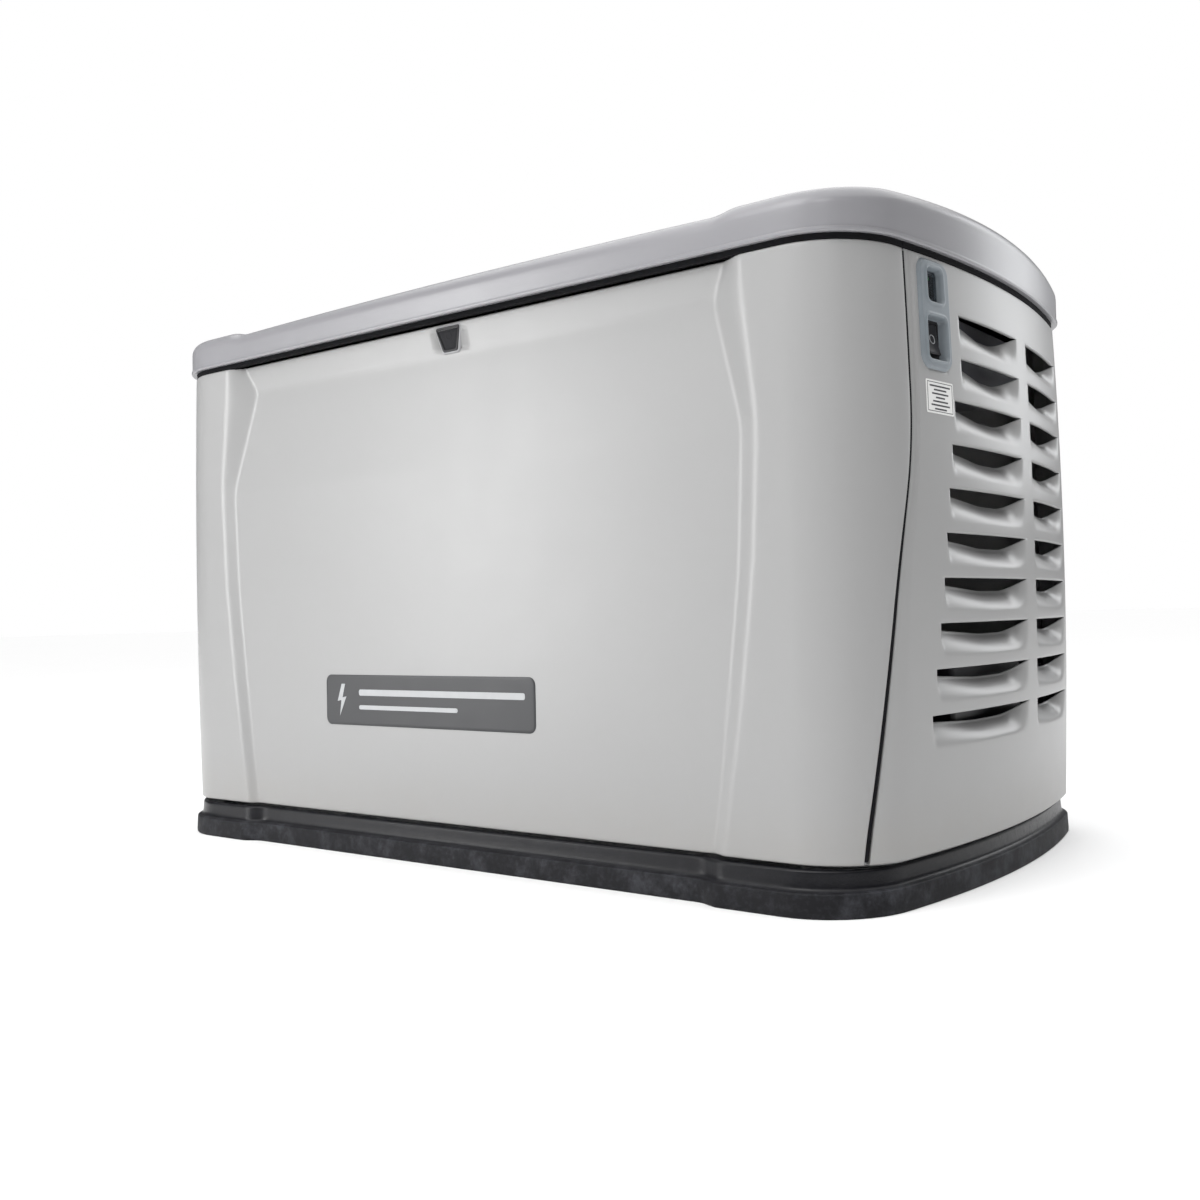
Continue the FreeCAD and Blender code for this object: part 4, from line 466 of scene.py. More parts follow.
def bare_metal(name, colour, roughness=0.35, metallic=1.0, stretch=(1.0, 1.0, 1.0), grain=0.0015,
               depth=0.00004, stain=0.25):
    """Plated, machined or cast metal: grain, uneven shine and darker stains."""
    made = Finish(name, Metallic=metallic)
    patch = made.window(made.noise(0.03, 6.0, 0.62), 0.4, 0.75)
    made.feed(Base_Color=made.blend(patch * stain, colour, shade(colour, 0.42)),
              Roughness=roughness + 0.16 * (made.noise(0.012, 4.0) - 0.4) + patch * 0.12)
    made.bump(made.noise(grain, 3.0, 0.6, stretch), depth, 0.8)
    return made.material


def galvanised(name, colour):
    """Zinc-coated sheet with its crystal spangle."""
    made = Finish(name, Metallic=0.8)
    spangle = made.node("ShaderNodeTexVoronoi", {"feature": "F1"},
                        {"Vector": made.place(), "Scale": 140.0}, "Color")
    tone = made.node("ShaderNodeSeparateColor", inputs={0: spangle})
    made.feed(Base_Color=made.blend(tone * 0.5 + made.noise(0.05, 3.0) * 0.4,
                                    shade(colour, 0.55), shade(colour, 0.8)),
              Roughness=0.36 + 0.2 * tone)
    made.bump(made.noise(0.004, 3.0), 0.00005, 0.5)
    return made.material


def heat_tinted(name, colour):
    """Aluminised steel that heat has tinted straw and brown towards its top."""
    made = Finish(name, Metallic=0.85)
    heat = made.window(made.height() + 0.09 * made.noise(0.05, 5.0), 0.36, 0.5)
    made.feed(Base_Color=made.blend(heat * 0.75, colour, (0.3, 0.21, 0.13)),
              Roughness=0.42 + 0.2 * made.noise(0.02, 5.0))
    made.bump(made.noise(0.003, 4.0), 0.00008, 0.6)
    return made.material


def laminations(name, colour):
    """Stack of varnished iron sheets, edge on."""
    made = Finish(name, Metallic=0.35)
    stripe = made.node("ShaderNodeMath", {"operation": "SINE"}, {0: made.height("X") * 6200.0})
    patch = made.noise(0.02, 5.0)
    made.feed(Base_Color=made.blend(stripe * 0.3 + patch * 0.5, shade(colour, 0.6), shade(colour, 1.7)),
              Roughness=0.4 + 0.2 * patch)
    made.bump(stripe, 0.0001, 0.5)
    return made.material


def clear_window(name, colour):
    """Clear polycarbonate with a faint dust film."""
    made = Finish(name, Transmission_Weight=1.0, IOR=1.49)
    film = made.noise(0.01, 4.0)
    made.feed(Base_Color=made.blend(film, shade(colour, 1.3), shade(colour, 1.45)),
              Roughness=0.03 + 0.08 * film)
    return made.material


def lamp_board(name, colour):
    """Lamp board: light board with a green, an amber and a red lamp one above the other."""
    made = Finish(name, Specular_IOR_Level=0.5)
    low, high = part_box("status_lights")
    step = (high.z - low.z) / 4
    z = made.height()
    amber = made.window(z, low.z + 1.45 * step, low.z + 1.5 * step)
    green = made.window(z, low.z + 2.45 * step, low.z + 2.5 * step)
    lamps = made.blend(green, made.blend(amber, (0.45, 0.04, 0.03), (0.6, 0.35, 0.04)), (0.05, 0.4, 0.1))
    front = made.window(made.height("X"), low.x + 2.2 * MM, low.x + 2.8 * MM)
    made.feed(Base_Color=made.blend(front, colour, lamps), Roughness=0.3 + 0.2 * made.noise(0.004))
    return made.material


def painted_metal(name, colour, roughness=0.35):
    """Sprayed enamel on an engine part, with dust and a few dull patches."""
    made = Finish(name, Specular_IOR_Level=0.5)
    patch = made.window(made.noise(0.04, 6.0, 0.6), 0.45, 0.8)
    made.feed(Base_Color=made.blend(patch * 0.35, colour, (0.16, 0.15, 0.14)),
              Roughness=roughness + patch * 0.25)
    made.bump(made.noise(0.0025, 3.0), 0.00008, 0.6)
    return made.material


SLOT_FINISHES = {
    "galvanised": galvanised,
    "zinc_steel": bare_metal,
    "foam_rubber": functools.partial(rubber, pores=0.0025, depth=0.0004),
    "rubber_black": rubber,
    "lamp_board": lamp_board,
    "cast_aluminium": functools.partial(bare_metal, roughness=0.5, metallic=0.75, grain=0.002,
                                        depth=0.0002, stain=0.45),
    "black_enamel": painted_metal,
    "machined_steel": functools.partial(bare_metal, roughness=0.28, stretch=(0.05, 1.0, 1.0)),
    "cast_iron_grey": functools.partial(bare_metal, roughness=0.6, metallic=0.45, grain=0.003,
                                        depth=0.0003, stain=0.5),
    "filter_paint": painted_metal,
    "dipstick_yellow": moulded,
    "black_plastic": functools.partial(moulded, roughness=0.55, grain=0.0014, depth=0.0001),
    "aluminised_steel": heat_tinted,
    "stator_iron": laminations,
    "battery_black": functools.partial(moulded, roughness=0.4),
    "panel_plastic": functools.partial(moulded, roughness=0.55, grain=0.0012, depth=0.0001),
    "display_glass": functools.partial(moulded, roughness=0.12, depth=0.00001),
    "lever_black": functools.partial(moulded, roughness=0.3),
    "button_grey": functools.partial(moulded, roughness=0.35),
    "button_red": functools.partial(moulded, roughness=0.3),
    "button_dark": functools.partial(moulded, roughness=0.35),
    "panel_paint": powder_coat,
}


# ---------------------------------------------------------------- settings

def length(text, name, default):
    """Length property in metres."""
    return FloatProperty(name=name, description=text, default=default, min=0.0, unit="LENGTH")


def colour(text, name, default):
    """Colour property."""
    return FloatVectorProperty(name=name, description=text, default=default, size=3, min=0.0, max=1.0,
                               subtype="COLOR")


class GeneratorShape(bpy.types.PropertyGroup):
    """Sizes of the finished skins."""

    fold_radius: length("Radius of the panels' folded edges", "Fold radius", 2.5 * MM)
    louvre_depth: length("How far the louvres are pressed in", "Louvre depth", 19 * MM)
    louvre_gap: length("Height of a louvre's opening under its lip", "Louvre opening", 13.5 * MM)
    lid_edge: length("Radius of the lid's upper edge", "Lid edge radius", 18 * MM)
    lid_bead: length("How far the bead along the lid's lip stands out", "Lid bead", 1.2 * MM)
    pad_edge: length("Radius of the pad's edges", "Pad edge radius", 3.5 * MM)
    cad_edge: length("Width of the bevel on the inner pieces' edges", "Inner edge bevel", 0.6 * MM)


class GeneratorFinish(bpy.types.PropertyGroup):
    """Colours of the finished skins."""

    panel: colour("Powder coat of the panels", "Panels", (0.325, 0.325, 0.325))
    lid: colour("Powder coat of the lid", "Lid", (0.25, 0.248, 0.262))
    pad: colour("Moulded pad", "Pad", (0.006, 0.006, 0.008))
    bezel: colour("Moulded bezel", "Bezel", (0.19, 0.215, 0.235))
    latch: colour("Moulded lock surround", "Lock", (0.016, 0.016, 0.018))
    print_ink: colour("Dark print on the plates", "Print", (0.02, 0.021, 0.024))
    film: colour("White label film", "Label", (0.72, 0.72, 0.71))


# ---------------------------------------------------------------- front panel

PILLAR_EDGE = soft_line([(HEM_Z, 405 * MM), (130 * MM, 420 * MM), (230 * MM, 436 * MM), (350 * MM, 452 * MM),
                         (490 * MM, 461 * MM), (TOP_Z, 444 * MM)], 22 * MM)
BEVEL_WIDTH = soft_line([(HEM_Z, 20 * MM), (230 * MM, 26 * MM), (500 * MM, 30 * MM), (632 * MM, 57 * MM),
                         (TOP_Z, 32 * MM)], 12 * MM)
RECESS_DEPTH = soft_line([(490 * MM, 7 * MM), (634 * MM, 20 * MM), (TOP_Z, 12 * MM)], 4.5 * MM)
LOCK_OPENING = Outline([(-12 * MM, 637 * MM), (12 * MM, 637 * MM),
                        (19 * MM, 664 * MM), (-19 * MM, 664 * MM)], 2 * MM)


def front_relief(s, z):
    """Depth of the recess between the pillars at a place on the front."""
    rise = ramp((PILLAR_EDGE(z) - abs(s)) / BEVEL_WIDTH(z), 0.4, 0.18)
    return rise * RECESS_DEPTH(z)


class GENERATOR_OT_front_panel(bpy.types.Operator):
    """Press the front panel: two pillars, a recess with its slanting floor, and folded edges"""

    bl_idname = "generator.front_panel"
    bl_label = "Front Panel"

    def execute(self, context):
        shape, paint = context.scene.generator_shape, context.scene.generator_finish
        section = fold(shape.fold_radius, FLANGE)
        half = spread(0.0, 372 * MM, 18 * MM)[1:] + spread(375 * MM, 482 * MM, 3 * MM)
        fixed = [-s for s in reversed(half)] + [0.0] + half
        flat = spread(HEM_Z + shape.fold_radius, TOP_Z - shape.fold_radius, 5 * MM)
        levels = ([(TOP_Z - e, inset) for e, inset in reversed(section)]
                  + [(z, 0.0) for z in reversed(flat[1:-1])]
                  + [(HEM_Z + e, inset) for e, inset in section])
        mesh = bmesh.new()
        rows = []
        for z, row_inset in levels:
            reach = BODY.along(SEAM_Y(z))
            places = across(-reach, reach, fixed, 24, section)
            rows.append(([skin(s, z, max(inset, row_inset) + front_relief(s, z)) for s, inset in places],
                         True))
        join_rows(mesh, rows)
        clean(mesh)
        cut_opening(mesh, lambda c: c.y < 50 * MM - HALF_WIDTH and LOCK_OPENING.distance(c.x, c.z) < 0)
        coat = powder_coat("Panel powder coat", paint.panel, grime=0.35)
        piece("front_skin", mesh, "front_cover", coat, ["front_panel"], SHEET)
        return {"FINISHED"}


# ---------------------------------------------------------------- end panels

LOUVRE_ROWS = 10
LOUVRE_PITCH = 47.3 * MM
LOUVRE_TOP_Z = TOP_Z - 54 * MM
LOUVRE_H = 36 * MM
LOUVRE_TAPER = (9 * MM, 52 * MM)
LOUVRE_SLANT = 8.2 * MM
LOUVRE_STEPS = 7
# Rolled lip, as (drop below the lip, inset) in millimetres, and how far down each row of the scoop lies.
LOUVRE_LIP = ((-3.5, 0.0), (-1.4, 0.0), (-0.5, 0.25), (0.0, 1.2), (0.2, 2.6), (0.0, 4.2))
LOUVRE_SCOOP = (0.0, 0.05, 0.13, 0.24, 0.37, 0.5, 0.64, 0.78, 0.9, 1.0)
LOUVRE_UPPER_Y = SEAM_Y(TOP_Z) + 82 * MM
LOUVRE_MIDDLE = (34 * MM, 66 * MM)
LOUVRE_BACK_Y = REAR_SEAM_Y - 28 * MM
BEZEL_Y = SEAM_Y(TOP_Z) + 50 * MM
BEZEL_HALF = 30 * MM
BEZEL_Z = (TOP_Z - 122 * MM, TOP_Z - 3 * MM)
JOGGLE_W = 8 * MM
JOGGLE_DEPTH = 2.2 * MM
# Section of the black strip in the seam's gap, which paints the gap's shade as a dark line, as (distance
# behind the seam, inset) in millimetres.
SEAM_SHADE_STRIP = ((0.4, 1.8), (0.4, 7.0), (3.8, 7.0), (3.8, 1.8))


def louvre_spans(row, beside_bezel):
    """Limits round the wall of the two louvres in a row."""
    front = LOUVRE_UPPER_Y - max(0, row - (LOUVRE_ROWS - 1 - LOUVRE_STEPS)) * LOUVRE_SLANT
    if beside_bezel and LOUVRE_TOP_Z - row * LOUVRE_PITCH > BEZEL_Z[0]:
        front = BEZEL_Y + BEZEL_HALF + 21 * MM
    limits = ((front, LOUVRE_MIDDLE[0]), (LOUVRE_MIDDLE[1], LOUVRE_BACK_Y))
    return [(BODY.along(low), BODY.along(high)) for low, high in limits]


def openness(s, spans):
    """How far a louvre is open at a place round the wall, from 0 at its ends to 1."""
    blunt, drawn_out = LOUVRE_TAPER

    def opened(low, high):
        growing = 0.55 + 0.45 * ramp((s - low) / (0.55 * (high - low)))
        front = ramp((s - low) / blunt, 0.1, 0.5) * growing
        return min(front, ramp((high - s) / drawn_out, 0.12, 0.6))

    return max(opened(low, high) for low, high in spans)


def louvre_levels(shape):
    """Rows of a louvre as (drop below its lip, inset) functions of openness, and whether each joins."""
    gap, depth = shape.louvre_gap, shape.louvre_depth
    levels = []
    for drop, inset in LOUVRE_LIP:
        def lip(w, drop=drop * MM, inset=inset * MM):
            turned = min(1.0, 4 * w)
            return drop if drop < 0 else drop * turned, inset * turned
        levels.append((lip, True))
    for t in LOUVRE_SCOOP:
        def at(w, t=t):
            drop = gap * w + t * (LOUVRE_H - gap * w)
            return drop, depth * w * (1 - ramp(t, 0.12, 0.5))
        levels.append((at, t > 0))
    return levels


def end_skin(shape, beside_bezel):
    """Mesh of the right end panel with its two columns of pressed louvres."""
    section = fold(shape.fold_radius, FLANGE)
    fixed = spread(BODY.along(-206 * MM), BODY.along(236 * MM), 3 * MM)
    rear = BODY.along(REAR_SEAM_Y)
    mesh = bmesh.new()
    rows = []

    def add(z, row_inset, change=None, joined=True):
        at_seam = z - (change(rear)[0] if change else 0.0)
        seam = BODY.along(SEAM_Y(at_seam) + SEAM_GAP)
        points = []
        for s, inset in across(seam, rear, fixed, 9, section):
            drop, press = change(s) if change else (0.0, 0.0)
            shelf = JOGGLE_DEPTH * (1 - ramp((s - seam - JOGGLE_W) / (3 * MM), 0.3, 0.3))
            points.append(skin(s, z - drop, max(inset + shelf, row_inset, press)))
        rows.append((points, joined))

    for e, inset in reversed(section):
        add(TOP_Z - e, inset)
    z = TOP_Z - shape.fold_radius
    for row in range(LOUVRE_ROWS):
        lip_z = LOUVRE_TOP_Z - row * LOUVRE_PITCH
        for level in reversed(spread(lip_z + 3.5 * MM, z, 6.5 * MM)[1:-1]):
            add(level, 0.0)
        spans = louvre_spans(row, beside_bezel)
        for at, joined in louvre_levels(shape):
            add(lip_z, 0.0, lambda s, at=at, spans=spans: at(openness(s, spans)), joined)
        z = lip_z - LOUVRE_H
    for level in reversed(spread(HEM_Z + shape.fold_radius, z, 8 * MM)[1:-1]):
        add(level, 0.0)
    for e, inset in section:
        add(HEM_Z + e, inset)
    join_rows(mesh, rows)
    clean(mesh)
    return mesh


def seam_strip(side):
    """Black strip that closes the slanting seam between the front and an end panel; its near-black colour is
    painted shade for the gap.
    """
    mesh = bmesh.new()
    rows = []
    for z in reversed(spread(HEM_Z + 3 * MM, TOP_Z - 3 * MM, 8 * MM)):
        near = BODY.along(SEAM_Y(z))
        rows.append(([skin(side * (near + s * MM), z, inset * MM) for s, inset in SEAM_SHADE_STRIP], True))
    join_rows(mesh, rows, closed=True)
    close_up(mesh)
    return mesh


class GENERATOR_OT_end_panels(bpy.types.Operator):
    """Press both end panels with their two columns of inward louvres"""

    bl_idname = "generator.end_panels"
    bl_label = "End Panels"

    def execute(self, context):
        shape, paint = context.scene.generator_shape, context.scene.generator_finish
        coat = powder_coat("End powder coat", paint.panel, grime=0.45)
        # Near-black rubber for the seam strips: painted shade in the seam's gap.
        black = rubber("Seam seal rubber", (0.006, 0.006, 0.007))
        right = end_skin(shape, True)
        hole = rectangle(BEZEL_HALF - 4 * MM, BEZEL_Z[0] + 4 * MM, BEZEL_Z[1] - 4 * MM, 11 * MM, BEZEL_Y)
        cut_opening(right, lambda c: c.x > HALF_LENGTH - 60 * MM and hole.distance(c.y, c.z) < 0)
        piece("right_end_skin", right, "enclosure", coat, ["right_side_panel"], SHEET)
        left = end_skin(shape, False)
        bmesh.ops.scale(left, vec=(-1.0, 1.0, 1.0), verts=left.verts)
        bmesh.ops.reverse_faces(left, faces=left.faces)
        for name, side in (("right_seam_seal", 1), ("left_seam_seal", -1)):
            piece(name, seam_strip(side), "enclosure", black)
        piece("left_end_skin", left, "enclosure", coat, ["left_side_panel"], SHEET)
        return {"FINISHED"}


# ---------------------------------------------------------------- rear panel

FUEL_NUT_R = 20 * MM
FUEL_HOLE_R = FUEL_NUT_R + 0.6 * MM


def ring_hole(mesh, x, z, radius, place):
    """Swap a square patch of a flat wall for a ring of faces round a hole."""
    reach = radius + 15 * MM

    def near(verts, limit):
        return all(abs(v.co.x - x) < limit and abs(v.co.z - z) < limit for v in verts)

    patch = [f for f in mesh.faces
             if f.calc_center_median().y > HALF_WIDTH - 1 * MM and near(f.verts, reach)]
    bmesh.ops.delete(mesh, geom=patch, context="FACES")
    rim = [e for e in mesh.edges if e.is_boundary and near(e.verts, reach + 1 * MM)]
    outer = list({v for e in rim for v in e.verts})
    outer.sort(key=lambda v: math.atan2(v.co.z - z, v.co.x - x))
    inner = []
    for v in outer:
        turn = math.atan2(v.co.z - z, v.co.x - x)
        inner.append(mesh.verts.new(place(x + radius * math.cos(turn), z + radius * math.sin(turn))))
    count = len(outer)
    for k in range(count):
        n = (k + 1) % count
        mesh.faces.new((outer[k], inner[k], inner[n], outer[n]))


class GENERATOR_OT_rear_panel(bpy.types.Operator):
    """Fold the rear panel and cut its fuel and conduit holes"""

    bl_idname = "generator.rear_panel"
    bl_label = "Rear Panel"

    def execute(self, context):
        shape, paint = context.scene.generator_shape, context.scene.generator_finish
        section = fold(shape.fold_radius, FLANGE)
        low = BODY.along(REAR_SEAM_Y + SEAM_GAP)
        high = 2 * BODY.half_round - low
        middle = BODY.half_round
        half = spread(0.0, BODY.corner_x - 2 * MM, 12 * MM)[1:]
        fixed = [middle - d for d in reversed(half)] + [middle] + [middle + d for d in half]
        flat = spread(HEM_Z + shape.fold_radius, TOP_Z - shape.fold_radius, 12 * MM)
        levels = ([(TOP_Z - e, inset) for e, inset in reversed(section)]
                  + [(z, 0.0) for z in reversed(flat[1:-1])]
                  + [(HEM_Z + e, inset) for e, inset in section])
        places = across(low, high, fixed, 14, section)
        mesh = bmesh.new()
        join_rows(mesh, [([skin(s, z, max(inset, row_inset)) for s, inset in places], True)
                         for z, row_inset in levels])
        clean(mesh)
        wall = HALF_WIDTH
        fuel_low, fuel_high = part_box("fuel_inlet")
        conduit = next(m for m in frame["record"]["mounts"] if m["name"] == "conduit_entry")
        fuel_x, fuel_z = (fuel_low.x + fuel_high.x) / 2, fuel_low.z + FUEL_NUT_R
        ring_hole(mesh, fuel_x, fuel_z, FUEL_HOLE_R, lambda x, z: Vector((x, wall, z)))
        ring_hole(mesh, conduit["pos_m"][0], conduit["pos_m"][2], conduit["dims"]["r_mm"] * MM,
                  lambda x, z: Vector((x, wall, z)))
        bmesh.ops.recalc_face_normals(mesh, faces=mesh.faces)
        coat = powder_coat("Rear powder coat", paint.panel, grime=0.5)
        piece("rear_skin", mesh, "enclosure", coat, ["rear_panel"], SHEET)
        return {"FINISHED"}


# ---------------------------------------------------------------- lid

LID_LOW, LID_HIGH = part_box("lid_shell")
LID = Plan(LID_HIGH.x, LID_HIGH.y, 100 * MM, BOW_R)
LID_ARCH_R = 3300 * MM
LID_STEP = 5 * MM
LID_HUMP = 4 * MM
LID_STEP_X = (402 * MM, 438 * MM)
LID_SPINE_X = 446 * MM
LID_RING_LIMIT = 84 * MM
LID_SHEET = 2.2 * MM
# Rings of the lid's top, from its spine to its edge, and its lip as (inset, rise) in millimetres.
LID_RINGS = (1.0, 0.85, 0.7, 0.56, 0.43, 0.32, 0.22, 0.14, 0.08, 0.035, 0.012)
LID_LIP = ((-0.75, 4.6), (-1.0, 3.2), (-1.0, 2.0), (-0.7, 0.9),
           (0.2, 0.0), (2.5, 0.0), (9.0, 1.0), (40.0, 1.0))


def crown(x, y):
    """Height of the lid's crowned top, lower between its two ends."""
    arch = LID_ARCH_R - math.sqrt(LID_ARCH_R ** 2 - y * y)
    low_x, high_x = LID_STEP_X
    dip = LID_STEP * (1 - ramp((abs(x) - low_x) / (high_x - low_x), 0.35, 0.35))
    hump = LID_HUMP * max(0.0, 1 - (x / low_x) ** 2)
    return LID_HIGH.z - arch - dip + hump


def lid_point(s, inset, z=None, drop=0.0):
    """Point of the lid at a distance round and an inset, on its crown unless a height is given."""
    x, y, nx, ny = LID.at(s)
    near = min(inset, LID_RING_LIMIT)
    x, y = x - nx * near, y - ny * near
    share = max(0.0, inset - near) / (LID.half_width - LID_RING_LIMIT)
    spine = min(max(x, -LID_SPINE_X), LID_SPINE_X)
    x, y = x + (spine - x) * share, y * (1 - share)
    return Vector((x, y, crown(x, y) - drop if z is None else z))


class GENERATOR_OT_lid(bpy.types.Operator):
    """Draw the crowned lid with its raised ends, soft edge, beaded lip and inner flange"""

    bl_idname = "generator.lid"
    bl_label = "Lid"

    def execute(self, context):
        shape, paint = context.scene.generator_shape, context.scene.generator_finish
        lip, bead, edge = LID_LOW.z, shape.lid_bead, shape.lid_edge
        quarter = round(LID.half_round / (12 * MM))
        rounds = spread(-LID.half_round, LID.half_round, LID.half_round / (2 * quarter))[:-1]
        mesh = bmesh.new()
        rows = []
        for share in LID_RINGS:
            inset = edge + share * (LID.half_width - edge)
            rows.append([lid_point(s, inset) for s in rounds])
        turns = [math.pi / 2 * k / 9 for k in range(10)]
        for turn in turns:
            inset, drop = edge * (1 - math.sin(turn)), edge * (1 - math.cos(turn))
            rows.append([lid_point(s, inset, drop=drop) for s in rounds])
        bead_top = lip + 5.0 * MM
        for share in (0.3, 0.6, 0.85, 1.0):
            row = []
            for s in rounds:
                top = lid_point(s, 0.0, drop=edge).z
                row.append(lid_point(s, 0.0, top + (bead_top - top) * share))
            rows.append(row)
        for inset, up in LID_LIP:
            out = inset * bead if inset < 0 else inset * MM
            rows.append([lid_point(s, out, lip + up * MM) for s in rounds])
        join_rows(mesh, [(row, True) for row in rows], closed=True)
        clean(mesh)
        bmesh.ops.recalc_face_normals(mesh, faces=mesh.faces)
        coat = powder_coat("Lid powder coat", paint.lid, roughness=0.3)
        piece("lid_skin", mesh, "lid", coat, ["lid_shell"], LID_SHEET)
        self.gasket(lip)
        return {"FINISHED"}

    def gasket(self, lip):
        """Black gasket under the lid's lip, in one length on the front cover and one on each end; set near
        the outer edge, its near-black colour is also painted shade for the gap under the lip.
        """
        low, high = TOP_Z + 0.4 * MM, lip + 4 * MM
        outer, inner = 6.2 * MM, 12 * MM
        section = [(outer + 0.8 * MM, low), (outer, low + 0.8 * MM), (outer, high), (inner, high),
                   (inner, low)]
        # Near-black gasket rubber: a real gasket that also paints the shade in the gap under the lid's lip.
        black = rubber("Lid gasket rubber", (0.006, 0.006, 0.007))
        seam, rear = LID.along(SEAM_Y(TOP_Z)), LID.marks[2]
        lengths = (("front_gasket", "front_cover", -seam, seam), ("right_gasket", "enclosure", seam, rear),
                   ("left_gasket", "enclosure", -rear, -seam))
        for name, body, start, end in lengths:
            mesh = bmesh.new()
            rows = [([lid_point(s, inset, z) for inset, z in section], True)
                    for s in spread(start + 0.3 * MM, end - 0.3 * MM, 8 * MM)]
            join_rows(mesh, rows, closed=True)
            close_up(mesh)
            piece(name, mesh, body, black)


# ---------------------------------------------------------------- pad

PAD_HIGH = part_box("base_pad")[1]
PAD = Plan(PAD_HIGH.x, PAD_HIGH.y, 103 * MM, BOW_R)
PAD_WAIST_X = (HALF_LENGTH - 234 * MM, HALF_LENGTH - 206 * MM)
PAD_WAIST = 10 * MM
PAD_FLANGE_Z = 25 * MM


def pad_point(s, inset, z):
    """Point of the pad, whose sides recede between its four corners."""
    x, y, nx, ny = PAD.at(s)
    waist = PAD_WAIST * (1 - ramp((abs(x) - PAD_WAIST_X[0]) / (PAD_WAIST_X[1] - PAD_WAIST_X[0]), 0.15, 0.15))
    inset += waist * abs(ny)
    return Vector((x - nx * inset, y - ny * inset, z))


class GENERATOR_OT_pad(bpy.types.Operator):
    """Mould the pad: dusty flange with bumped-out corners, ledge and shiny raised top"""

    bl_idname = "generator.pad"
    bl_label = "Pad"

    def execute(self, context):
        shape, paint = context.scene.generator_shape, context.scene.generator_finish
        edge, top = shape.pad_edge, PAD_HIGH.z
        turns = [math.pi / 2 * k / 5 for k in range(6)]
        section = [(60 * MM, top), (20 * MM, top)]
        section += [(9.5 * MM + edge * (1 - math.sin(a)), top - edge * (1 - math.cos(a))) for a in turns]
        section += [(9.2 * MM, 38 * MM), (8.6 * MM, 31 * MM), (8.0 * MM, 28.2 * MM), (6.6 * MM, 26.2 * MM),
                    (5.0 * MM, PAD_FLANGE_Z + 0.5 * MM)]
        rim = 0.8 * edge
        section += [(0.8 * MM + rim * (1 - math.sin(a)), PAD_FLANGE_Z - rim * (1 - math.cos(a)))
                    for a in turns]
        section += [(0.45 * MM, 14 * MM), (0.0, 5 * MM), (0.3 * MM, 1.4 * MM), (1.6 * MM, 0.0),
                    (16 * MM, 0.0), (17 * MM, 12 * MM)]
        rounds = spread(-PAD.half_round, PAD.half_round, 7 * MM)[:-1]
        mesh = bmesh.new()
        rows = [([pad_point(s, inset, z) for s in rounds], True) for inset, z in section]
        join_rows(mesh, rows, closed=True)
        clean(mesh)
        bmesh.ops.holes_fill(mesh, edges=[e for e in mesh.edges if e.is_boundary], sides=0)
        ribs = 5
        half = PAD_HIGH.x - 130 * MM
        for k in range(ribs):
            x = -half + 2 * half * k / (ribs - 1)
            rib = bmesh.ops.create_cube(mesh, size=1.0)["verts"]
            bmesh.ops.scale(mesh, vec=(12 * MM, 2 * (PAD_HIGH.y - 30 * MM), 13 * MM), verts=rib)
            bmesh.ops.translate(mesh, vec=(x, 0, 6.5 * MM), verts=rib)
        bmesh.ops.recalc_face_normals(mesh, faces=mesh.faces)
        finish = pad_composite("Pad composite", paint.pad)
        piece("pad_moulding", mesh, "enclosure", finish, ["base_pad"], sharp=55.0)
        return {"FINISHED"}


# ---------------------------------------------------------------- bezel, window and switch

BEZEL_PROUD = 3.5 * MM
POCKET_LINING = 1.6 * MM
WINDOW_LINING = 3 * MM
WINDOW = rectangle(14 * MM, BEZEL_Z[1] - 46 * MM, BEZEL_Z[1] - 11 * MM, 5 * MM)
POCKET = rectangle(18 * MM, BEZEL_Z[0] + 12 * MM, BEZEL_Z[0] + 57 * MM, 5 * MM)
BEZEL_OUTLINE = Outline([(-30 * MM, BEZEL_Z[0]), (30 * MM, BEZEL_Z[0]), (30 * MM, BEZEL_Z[1]),
                         (-30 * MM, BEZEL_Z[1])], 16 * MM)


def on_wall(a, b, out):
    """Point over the right end at a distance round from the bezel's middle, a height and a lift."""
    return skin(BODY.along(BEZEL_Y) + a, b, -out)


ROCKER_HOLE = rectangle(12.4 * MM, POCKET.points[0][1] + 5.6 * MM, POCKET.points[2][1] - 5.6 * MM, 2 * MM)


def bezel_height(a, b):
    """Lift of the bezel's face: soft edge, raised rims, window recess and switch pocket."""
    edge = BEZEL_OUTLINE.distance(a, b)
    lift = -0.6 * MM + (BEZEL_PROUD + 0.6 * MM) * step_in(edge, 4.5 * MM)
    for hollow in (WINDOW, POCKET):
        gap = hollow.distance(a, b)
        rim = max(0.0, 1 - abs(gap - 2.2 * MM) / (2.4 * MM))
        lift += 1.1 * MM * ramp(rim, 0.4, 0.4)
        lift -= (BEZEL_PROUD + 6 * MM) * step_in(gap - 0.6 * MM, 1.8 * MM)
    return lift - 8 * MM * step_in(ROCKER_HOLE.distance(a, b), 0.9 * MM)


